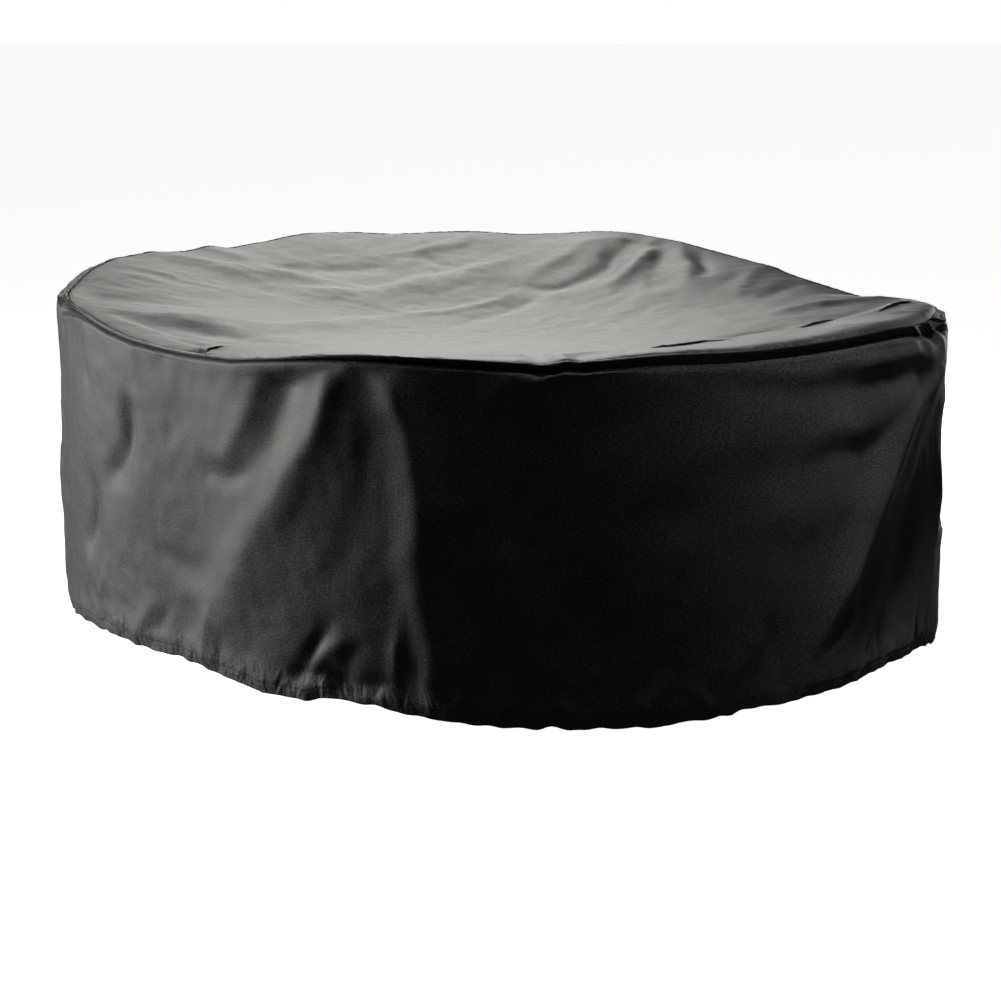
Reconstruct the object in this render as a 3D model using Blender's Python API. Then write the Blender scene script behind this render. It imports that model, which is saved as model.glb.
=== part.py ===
"""A round fitted cover of coated cloth for use outdoors, as it hangs when it is in place.

The cover is hollow. It is made of its three cut pieces: a round top panel, a deep skirt closed
into a ring, and the binding that covers the seam between them. The rim rises and falls on its
way round, and the top sags inside it.

Metres, +Z up. The origin is the underside of the top at its middle, where the cover is
carried. The front is -Y, and angles run anticlockwise from +X, seen from above.
"""

import math
from collections import namedtuple

import bmesh
import bpy
from mathutils import Vector

# Driving dimensions.
CLOTH = 0.002               # thickness of the coated cloth
SEAM_GAP = 0.0007           # air left between two pieces that are sewn together
RIM_HEIGHT = 0.100          # mean height of the seam above the origin
SEAM_MARGIN = 0.015         # the top lies level this close to its seam
BINDING_WIDTH = 0.024       # how far the binding reaches over the skirt
BINDING_THICKNESS = 0.0025
SHOULDER = 0.048            # the skirt has reached its full width this far below the seam
FOLD_START = 0.030          # and has no folds above here
FOLD_FADE = 0.080           # folds die out over this length next to the seam
HEM_TUCK_HEIGHT = 0.045     # the gathered hem pulls in over this height
HEM_TUCK = 0.012            # and by this much
ARC_RADIUS = 1.14           # turns a fold's angles into lengths round the skirt

COLUMNS = 96                # facets round the cover
TOP_RINGS = (0.14, 0.28, 0.42, 0.56, 0.68, 0.79, 0.88, 0.95)
SKIRT_STEPS = 8             # rows of facets between the shoulder and the hem

# The outline, one row every 12 degrees: the seam's radius and its rise over RIM_HEIGHT, how far
# the binding leans out from upright (in degrees, and below zero where it rolls under), the
# skirt's radius at its shoulder and at its hem, and how far the hem hangs below RIM_HEIGHT.
Outline = namedtuple("Outline", "angle seam_radius seam_rise lean belly_radius hem_radius hem_drop")
OUTLINE = [Outline(*row) for row in (
    (0, 1.130, -0.022, 55, 1.160, 1.150, 0.848),
    (12, 1.125, -0.045, 40, 1.145, 1.140, 0.842),
    (24, 1.095, -0.066, 25, 1.108, 1.105, 0.832),
    (36, 1.070, -0.046, 10, 1.080, 1.090, 0.828),
    (48, 1.085, -0.018, 10, 1.095, 1.105, 0.832),
    (60, 1.125, 0.006, 10, 1.132, 1.130, 0.838),
    (72, 1.145, 0.034, 10, 1.150, 1.145, 0.842),
    (84, 1.135, 0.024, 10, 1.143, 1.140, 0.840),
    (96, 1.125, 0.032, 15, 1.135, 1.132, 0.838),
    (108, 1.135, 0.029, 15, 1.143, 1.138, 0.840),
    (120, 1.145, 0.042, 10, 1.150, 1.142, 0.834),
    (132, 1.122, 0.024, 15, 1.130, 1.128, 0.826),
    (144, 1.112, 0.034, 25, 1.125, 1.120, 0.818),
    (156, 1.130, 0.046, 40, 1.145, 1.135, 0.812),
    (168, 1.122, 0.046, 55, 1.150, 1.142, 0.808),
    (180, 1.118, 0.034, 60, 1.152, 1.144, 0.806),
    (192, 1.125, 0.032, 45, 1.152, 1.142, 0.782),
    (204, 1.138, 0.034, 5, 1.148, 1.136, 0.762),
    (216, 1.120, 0.000, -20, 1.128, 1.112, 0.764),
    (228, 1.100, -0.014, -20, 1.106, 1.092, 0.770),
    (240, 1.128, 0.001, -15, 1.132, 1.112, 0.798),
    (252, 1.150, 0.027, -10, 1.150, 1.135, 0.790),
    (264, 1.150, 0.019, 0, 1.152, 1.140, 0.821),
    (276, 1.150, 0.006, 0, 1.152, 1.142, 0.838),
    (288, 1.150, 0.018, 0, 1.152, 1.142, 0.846),
    (300, 1.150, 0.019, 0, 1.152, 1.142, 0.836),
    (312, 1.150, 0.025, 0, 1.152, 1.142, 0.832),
    (324, 1.148, 0.020, 5, 1.154, 1.140, 0.825),
    (336, 1.130, 0.003, 25, 1.156, 1.142, 0.830),
    (348, 1.122, -0.002, 50, 1.162, 1.152, 0.862),
)]
OUTLINE_STEP = 360 / len(OUTLINE)

# The main folds: a ridge has a rise above zero and a trough one below it. The width is where
# the rise has dropped to about a third. A skirt fold runs through (angle, drop below the
# seam), and a fold of the top through (x, y).
Fold = namedtuple("Fold", "rise width path")
SKIRT_FOLDS = (
    # Front left: two long ridges and the hollows beside them.
    Fold(0.030, 0.050, ((249, 0.06), (246, 0.22), (238, 0.38), (232, 0.60), (230, 0.74))),
    Fold(-0.020, 0.050, ((245, 0.05), (240, 0.15), (235, 0.30))),
    Fold(-0.014, 0.055, ((252, 0.10), (251, 0.30), (247, 0.52))),
    Fold(0.020, 0.055, ((256, 0.05), (258, 0.20), (258, 0.72))),
    Fold(-0.012, 0.050, ((213, 0.15), (212, 0.27), (209, 0.44), (206, 0.56))),
    # Front, where it hangs nearly smooth.
    Fold(-0.012, 0.080, ((278, 0.14), (288, 0.13))),
    Fold(-0.010, 0.090, ((286, 0.36), (293, 0.38))),
    Fold(0.012, 0.050, ((299, 0.60), (299, 0.78))),
    Fold(-0.018, 0.040, ((303, 0.64), (306, 0.82))),
    # The long fold that hangs from the right-hand corner, with the cloth slack above it.
    Fold(0.032, 0.055, ((343, 0.06), (337, 0.12), (328, 0.24), (322, 0.40), (315, 0.58), (308, 0.76))),
    Fold(-0.018, 0.050, ((336, 0.09), (326, 0.12), (312, 0.10), (298, 0.06))),
    Fold(0.012, 0.050, ((324, 0.17), (312, 0.18), (298, 0.16))),
    Fold(-0.012, 0.110, ((351, 0.20), (351, 0.48))),
    # The back and the sides.
    Fold(0.024, 0.055, ((14, 0.06), (22, 0.26), (27, 0.50), (29, 0.72))),
    Fold(-0.018, 0.060, ((30, 0.10), (37, 0.34), (40, 0.66))),
    Fold(0.022, 0.055, ((60, 0.06), (56, 0.28), (49, 0.52), (47, 0.72))),
    Fold(-0.012, 0.060, ((84, 0.12), (86, 0.44), (84, 0.74))),
    Fold(0.018, 0.055, ((104, 0.06), (98, 0.30), (96, 0.66))),
    Fold(0.024, 0.055, ((124, 0.06), (130, 0.24), (138, 0.46), (141, 0.72))),
    Fold(-0.016, 0.060, ((140, 0.08), (147, 0.30), (150, 0.56))),
    Fold(0.018, 0.055, ((172, 0.08), (178, 0.34), (184, 0.60), (186, 0.74))),
)
TOP_FOLDS = (
    # Stretched from the left-hand corner towards the far rim.
    Fold(0.013, 0.040, ((-1.04, -0.30), (-0.60, -0.04), (-0.10, 0.40))),
    Fold(-0.011, 0.050, ((-0.94, -0.42), (-0.72, -0.55), (-0.54, -0.56))),
    Fold(0.010, 0.045, ((-1.00, 0.44), (-0.78, 0.40), (-0.50, 0.56))),
    Fold(0.010, 0.040, ((-0.49, 0.44), (-0.18, 0.72), (0.08, 0.98))),
    Fold(0.011, 0.040, ((-0.33, 0.34), (-0.04, 0.62), (0.20, 0.95))),
    # Troughs that meet at the far rim, right of the middle.
    Fold(-0.022, 0.048, ((0.10, 0.50), (0.26, 0.80), (0.36, 1.00))),
    Fold(-0.013, 0.055, ((0.44, 0.98), (0.46, 0.66))),
    # Slack cloth on the right, and two tucks at the front.
    Fold(0.010, 0.050, ((0.52, 0.10), (0.78, 0.28), (0.92, 0.40))),
    Fold(-0.010, 0.050, ((0.60, -0.44), (0.86, -0.30), (1.02, -0.10))),
    Fold(-0.008, 0.050, ((0.34, -0.90), (0.46, -0.62))),
)

CHARCOAL = (0.012, 0.012, 0.013, 1.0)   # linear values of a near-black grey
BINDING_BLACK = (0.007, 0.007, 0.008, 1.0)
CLOTH_ROUGHNESS = 0.62


def ease(value):
    """A smooth step from 0 to 1 while the value goes from 0 to 1."""
    value = min(max(value, 0.0), 1.0)
    return value * value * (3 - 2 * value)


def around(column, angle):
    """One outline column at an angle, on a smooth closed curve through the rows."""
    place = (angle % 360) / OUTLINE_STEP
    row = int(place)
    share = place - row
    before, start, end, after = (
        getattr(OUTLINE[(row + step) % len(OUTLINE)], column) for step in (-1, 0, 1, 2))
    bend = 2 * before - 5 * start + 4 * end - after
    twist = 3 * (start - end) + after - before
    return start + 0.5 * share * (end - before + share * (bend + share * twist))


def nearest(place, path):
    """The distance from a place to a path of straight runs."""
    gaps = []
    for start, end in zip(path, path[1:]):
        run = end - start
        share = min(max((place - start).dot(run) / run.length_squared, 0.0), 1.0)
        gaps.append((place - start - run * share).length)
    return min(gaps)


def folds_at(folds, place):
    """The summed rise of the folds at a place."""
    return sum(fold.rise * math.exp(-(nearest(place, fold.path) / fold.width) ** 2) for fold in folds)


def on_skirt(angle, drop, centre):
    """An angle and a drop as lengths on the unrolled skirt, next to the centre angle."""
    turned = centre + (angle - centre + 180) % 360 - 180
    return Vector((math.radians(turned) * ARC_RADIUS, drop))


def skirt_folds_at(angle, drop):
    """The summed rise of the skirt's folds, each unrolled round its own first angle."""
    total = 0
    for fold in SKIRT_FOLDS:
        centre = fold.path[0][0]
        path = [on_skirt(*point, centre) for point in fold.path]
        total += folds_at([Fold(fold.rise, fold.width, path)], on_skirt(angle, drop, centre))
    return total


def polar(angle, radius, height):
    """A point at an angle and a radius from the middle."""
    turn = math.radians(angle)
    return Vector((radius * math.cos(turn), radius * math.sin(turn), height))


def band_point(angle, run, outward=0.0):
    """A point of the band where the binding lies, at a run along it below the seam.

    The band goes straight down past the top's edge, and leans in or out from there.
    """
    upright = min(run, CLOTH + SEAM_GAP)
    lean = math.radians(around("lean", angle))
    leaning = run - upright
    radius = around("seam_radius", angle) + leaning * math.sin(lean) + outward
    return polar(angle, radius, RIM_HEIGHT + around("seam_rise", angle) - upright - leaning * math.cos(lean))


def level_share(angle):
    """The share of the way from the middle to the seam where the level margin starts."""
    return 1 - SEAM_MARGIN / around("seam_radius", angle)


def top_point(angle, share):
    """A point of the top's upper face, at a share of the way from its middle to the seam."""
    seam_radius = around("seam_radius", angle)
    reach = min(share / level_share(angle), 1.0)
    sag = (RIM_HEIGHT - CLOTH) * (1 - reach ** 2) ** 2
    point = polar(angle, seam_radius * share, RIM_HEIGHT - sag + around("seam_rise", angle) * reach ** 3)
    from_seam = seam_radius * (1 - share) - SEAM_MARGIN
    paths = [Fold(fold.rise, fold.width, [Vector(spot) for spot in fold.path]) for fold in TOP_FOLDS]
    point.z += folds_at(paths, point.xy) * ease(from_seam / FOLD_FADE)
    return point


def skirt_point(angle, drop):
    """A point of the skirt's outer face below the band, at a drop below the seam."""
    band_end = band_point(angle, BINDING_WIDTH)
    band_drop = RIM_HEIGHT + around("seam_rise", angle) - band_end.z
    length = around("seam_rise", angle) + around("hem_drop", angle)
    belly, hem = around("belly_radius", angle), around("hem_radius", angle)
    start = band_end.xy.length
    radius = start + (belly - start) * ease((drop - band_drop) / (SHOULDER - band_drop))
    radius += (hem - belly) * ease((drop - SHOULDER) / (length - SHOULDER))
    radius += skirt_folds_at(angle, drop) * ease((drop - FOLD_START) / FOLD_FADE)
    radius -= HEM_TUCK * ease((drop - length + HEM_TUCK_HEIGHT) / HEM_TUCK_HEIGHT)
    return polar(angle, radius, RIM_HEIGHT + around("seam_rise", angle) - drop)


def skirt_column(angle):
    """The skirt's points at an angle, from its upper edge down to its hem."""
    length = around("seam_rise", angle) + around("hem_drop", angle)
    tuck = length - HEM_TUCK_HEIGHT
    drops = [SHOULDER + (tuck - SHOULDER) * step / SKIRT_STEPS for step in range(SKIRT_STEPS + 1)]
    band = [band_point(angle, CLOTH + SEAM_GAP), band_point(angle, BINDING_WIDTH)]
    return band + [skirt_point(angle, drop) for drop in [FOLD_START] + drops + [length]]


def inward(point):
    """One cloth thickness from a point towards the cover's upright axis."""
    return -CLOTH * Vector((point.x, point.y, 0)).normalized()


def outward(point):
    """One binding thickness from a point away from the cover's upright axis."""
    return inward(point) * (-BINDING_THICKNESS / CLOTH)


def downward(point):
    """One cloth thickness straight down, the same at every point."""
    return Vector((0, 0, -CLOTH))


def sheet(name, rings, thickness, colour, middle=None):
    """A thin closed solid: rings of points joined by facets, then thickened on one side."""
    work = bmesh.new()
    loops = [[work.verts.new(point) for point in ring] for ring in rings]
    for upper, lower in zip(loops, loops[1:]):
        for here in range(COLUMNS):
            beside = (here + 1) % COLUMNS
            work.faces.new((upper[here], lower[here], lower[beside], upper[beside]))
    if middle is not None:
        hub = work.verts.new(middle)
        for here in range(COLUMNS):
            work.faces.new((hub, loops[0][here], loops[0][(here + 1) % COLUMNS]))
    # Both faces take the same diagonals, because they are cut before the thickness is given.
    bmesh.ops.triangulate(work, faces=work.faces[:], quad_method='FIXED')
    made = bmesh.ops.extrude_face_region(work, geom=work.faces[:], use_keep_orig=True)
    for part in made["geom"]:
        if isinstance(part, bmesh.types.BMVert):
            part.co += thickness(part.co)
    bmesh.ops.recalc_face_normals(work, faces=work.faces[:])
    mesh = bpy.data.meshes.new(name)
    work.to_mesh(mesh)
    work.free()
    mesh.shade_smooth()
    mesh.set_sharp_from_angle(angle=math.radians(60))
    piece = bpy.data.objects.new(name, mesh)
    bpy.context.scene.collection.objects.link(piece)
    mesh.materials.append(coated_cloth(name, colour))
    return piece


def coated_cloth(name, colour):
    """Matt coated polyester cloth of one colour."""
    material = bpy.data.materials.new(name)
    material.use_nodes = True
    shader = material.node_tree.nodes["Principled BSDF"]
    shader.inputs["Base Color"].default_value = colour
    shader.inputs["Roughness"].default_value = CLOTH_ROUGHNESS
    shader.inputs["Metallic"].default_value = 0.0
    return material


def top_panel(angles):
    """The round top, from its middle out to the seam."""
    rings = [[top_point(angle, share) for angle in angles] for share in TOP_RINGS]
    rings.append([top_point(angle, level_share(angle)) for angle in angles])
    rings.append([top_point(angle, 1.0) for angle in angles])
    return sheet("top_panel", rings, downward, CHARCOAL, middle=top_point(0, 0))


def skirt(angles):
    """The deep skirt, one closed ring that hangs from just under the top, with its hem."""
    columns = [skirt_column(angle) for angle in angles]
    return sheet("skirt", list(zip(*columns)), inward, CHARCOAL)


def rim_binding(angles):
    """The band over the seam: it hides the top's edge and the upper edge of the skirt."""
    runs = (0.0, CLOTH + SEAM_GAP, BINDING_WIDTH)
    rings = [[band_point(angle, run, SEAM_GAP) for angle in angles] for run in runs]
    return sheet("rim_binding", rings, outward, BINDING_BLACK)


def build():
    """Clear the scene and make the cover's three pieces."""
    for thing in list(bpy.data.objects):
        bpy.data.objects.remove(thing)
    angles = [360 * column / COLUMNS for column in range(COLUMNS)]
    top_panel(angles)
    skirt(angles)
    rim_binding(angles)


build()
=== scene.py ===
"""A round fitted cover of coated cloth for use outdoors, as it hangs when it is in place.

The cover has three sewn pieces: a round top, a deep skirt with a turned hem, and the band that
covers the seam between them. It is hollow. Metres, +Z up, the front is -Y. Angles are in degrees
and run anticlockwise from +X, seen from above.
"""
import math
from collections import namedtuple

import bpy
import numpy as np
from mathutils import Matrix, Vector


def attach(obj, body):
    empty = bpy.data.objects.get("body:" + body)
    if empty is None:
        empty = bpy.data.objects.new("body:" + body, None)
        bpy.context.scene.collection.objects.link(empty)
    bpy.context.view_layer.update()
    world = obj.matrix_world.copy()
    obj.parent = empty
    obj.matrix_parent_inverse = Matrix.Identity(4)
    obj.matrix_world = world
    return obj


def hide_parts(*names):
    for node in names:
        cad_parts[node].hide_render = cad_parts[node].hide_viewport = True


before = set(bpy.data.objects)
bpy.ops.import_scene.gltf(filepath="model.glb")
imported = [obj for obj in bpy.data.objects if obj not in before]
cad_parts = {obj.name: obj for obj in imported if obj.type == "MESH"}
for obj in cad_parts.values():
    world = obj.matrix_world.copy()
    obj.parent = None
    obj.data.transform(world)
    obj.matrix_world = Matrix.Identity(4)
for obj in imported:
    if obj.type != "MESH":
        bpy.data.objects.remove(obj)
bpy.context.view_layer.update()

bl_info = {
    "name": "Round Garden Furniture Cover",
    "version": (1, 0, 0),
    "blender": (4, 5, 0),
    "location": "View3D > Sidebar > Furniture Cover",
    "description": "Makes a round fitted cover of coated cloth with a deep skirt and a bound seam",
    "category": "Add Mesh",
}

# ---------------------------------------------------------------- the shape it hangs in

CLOTH_GAP = 0.0027          # the skirt's upper edge lies this far below the top's face
RIM_HEIGHT = 0.100          # mean height of the seam above the origin
TOP_SAG = 0.098             # how far the middle of the top hangs below the rim
BAND_WIDTH = 0.024
BAND_BEND = 0.004           # the width over which the band turns from the top to the skirt
SHOULDER = 0.048            # the skirt has reached its full width this far below the seam
SHORT_SHOULDER = 0.010      # but at least this far below the band,
TIGHT_SHOULDER = 0.005      # or only this far where the band rolls under the top
TIGHT_LEAN = 40             # by this many degrees or more
ARC_RADIUS = 1.14           # turns angles into lengths round the unrolled skirt
LOOP = 2 * math.pi * ARC_RADIUS
GROUND = -1.03              # height of the floor; the cover hangs clear of it

# The outline, one row every 12 degrees: the seam's radius and its rise over RIM_HEIGHT, the
# skirt's radius at its shoulder and at its hem, and how far the hem hangs below RIM_HEIGHT.
Outline = namedtuple("Outline", "angle seam_radius seam_rise belly_radius hem_radius hem_drop")
OUTLINE = [Outline(*row) for row in (
    (0, 1.128, -0.026, 1.152, 1.150, 0.848),
    (12, 1.125, -0.045, 1.145, 1.140, 0.842),
    (24, 1.095, -0.066, 1.108, 1.105, 0.832),
    (36, 1.070, -0.046, 1.080, 1.090, 0.828),
    (48, 1.085, -0.018, 1.095, 1.105, 0.832),
    (60, 1.125, 0.006, 1.132, 1.130, 0.838),
    (72, 1.145, 0.034, 1.150, 1.145, 0.842),
    (84, 1.135, 0.024, 1.143, 1.140, 0.840),
    (96, 1.125, 0.032, 1.135, 1.132, 0.838),
    (108, 1.135, 0.029, 1.143, 1.138, 0.840),
    (120, 1.145, 0.042, 1.150, 1.142, 0.834),
    (132, 1.122, 0.024, 1.130, 1.128, 0.826),
    (144, 1.112, 0.034, 1.125, 1.120, 0.818),
    (156, 1.130, 0.046, 1.145, 1.135, 0.812),
    (168, 1.122, 0.046, 1.150, 1.142, 0.808),
    (180, 1.118, 0.034, 1.152, 1.144, 0.806),
    (192, 1.132, 0.034, 1.152, 1.142, 0.782),
    (204, 1.138, 0.032, 1.146, 1.136, 0.762),
    (216, 1.120, 0.000, 1.126, 1.112, 0.764),
    (228, 1.100, -0.014, 1.105, 1.096, 0.770),
    (240, 1.128, 0.001, 1.131, 1.123, 0.798),
    (252, 1.150, 0.027, 1.150, 1.132, 0.790),
    (264, 1.150, 0.026, 1.152, 1.140, 0.821),
    (276, 1.150, 0.016, 1.152, 1.142, 0.838),
    (288, 1.150, 0.026, 1.152, 1.142, 0.846),
    (300, 1.150, 0.020, 1.152, 1.142, 0.836),
    (312, 1.150, 0.021, 1.152, 1.142, 0.832),
    (324, 1.148, 0.020, 1.154, 1.140, 0.825),
    (336, 1.132, 0.000, 1.148, 1.142, 0.830),
    (348, 1.124, -0.010, 1.149, 1.152, 0.862),
)]
OUTLINE_STEP = 360 / len(OUTLINE)

# How far the band leans out from upright, in degrees, by the angle round the cover: at 90 it lies
# on the top, and below zero it rolls under the top's edge. It turns over at the left-hand corner.
BAND_LEAN = ((0, 66), (14, 40), (28, 20), (40, 10), (96, 12), (132, 15), (144, 28), (156, 62), (168, 78),
             (190, 80), (198, -30), (207, -78), (240, -80), (256, -54), (268, -42), (280, -34), (292, -14),
             (308, -24), (328, -28), (337, 0), (344, 56), (350, 70))
# How high the top's cloth rolls up beside the seam before it falls to it.
TOP_ROLL = ((0, 0.010), (20, 0.003), (60, 0.002), (262, 0.002), (280, 0.005), (292, 0.008), (308, 0.015),
            (324, 0.018), (340, 0.020), (352, 0.015))
ROLL_WIDTH = 0.026          # it rises over this width, stays up as far as ROLL_LEVEL from the seam,
ROLL_LEVEL = 0.050
ROLL_FALL = 0.240           # and falls over this width

# Small bumps and dips of the rim: angle, half width in degrees, rise.
Bump = namedtuple("Bump", "angle half_width rise")
RIM_BUMPS = [Bump(*row) for row in (
    (151, 2.4, 0.004), (139, 2.6, 0.010), (131, 2.2, 0.004), (161, 2.5, 0.003),
    (112, 3.0, 0.003), (88, 3.0, -0.003), (62, 3.0, 0.004), (44, 2.6, 0.004),
    (17, 3.0, 0.004), (236, 2.5, -0.003), (274, 1.2, -0.004), (277, 1.0, 0.004),
)]

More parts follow.
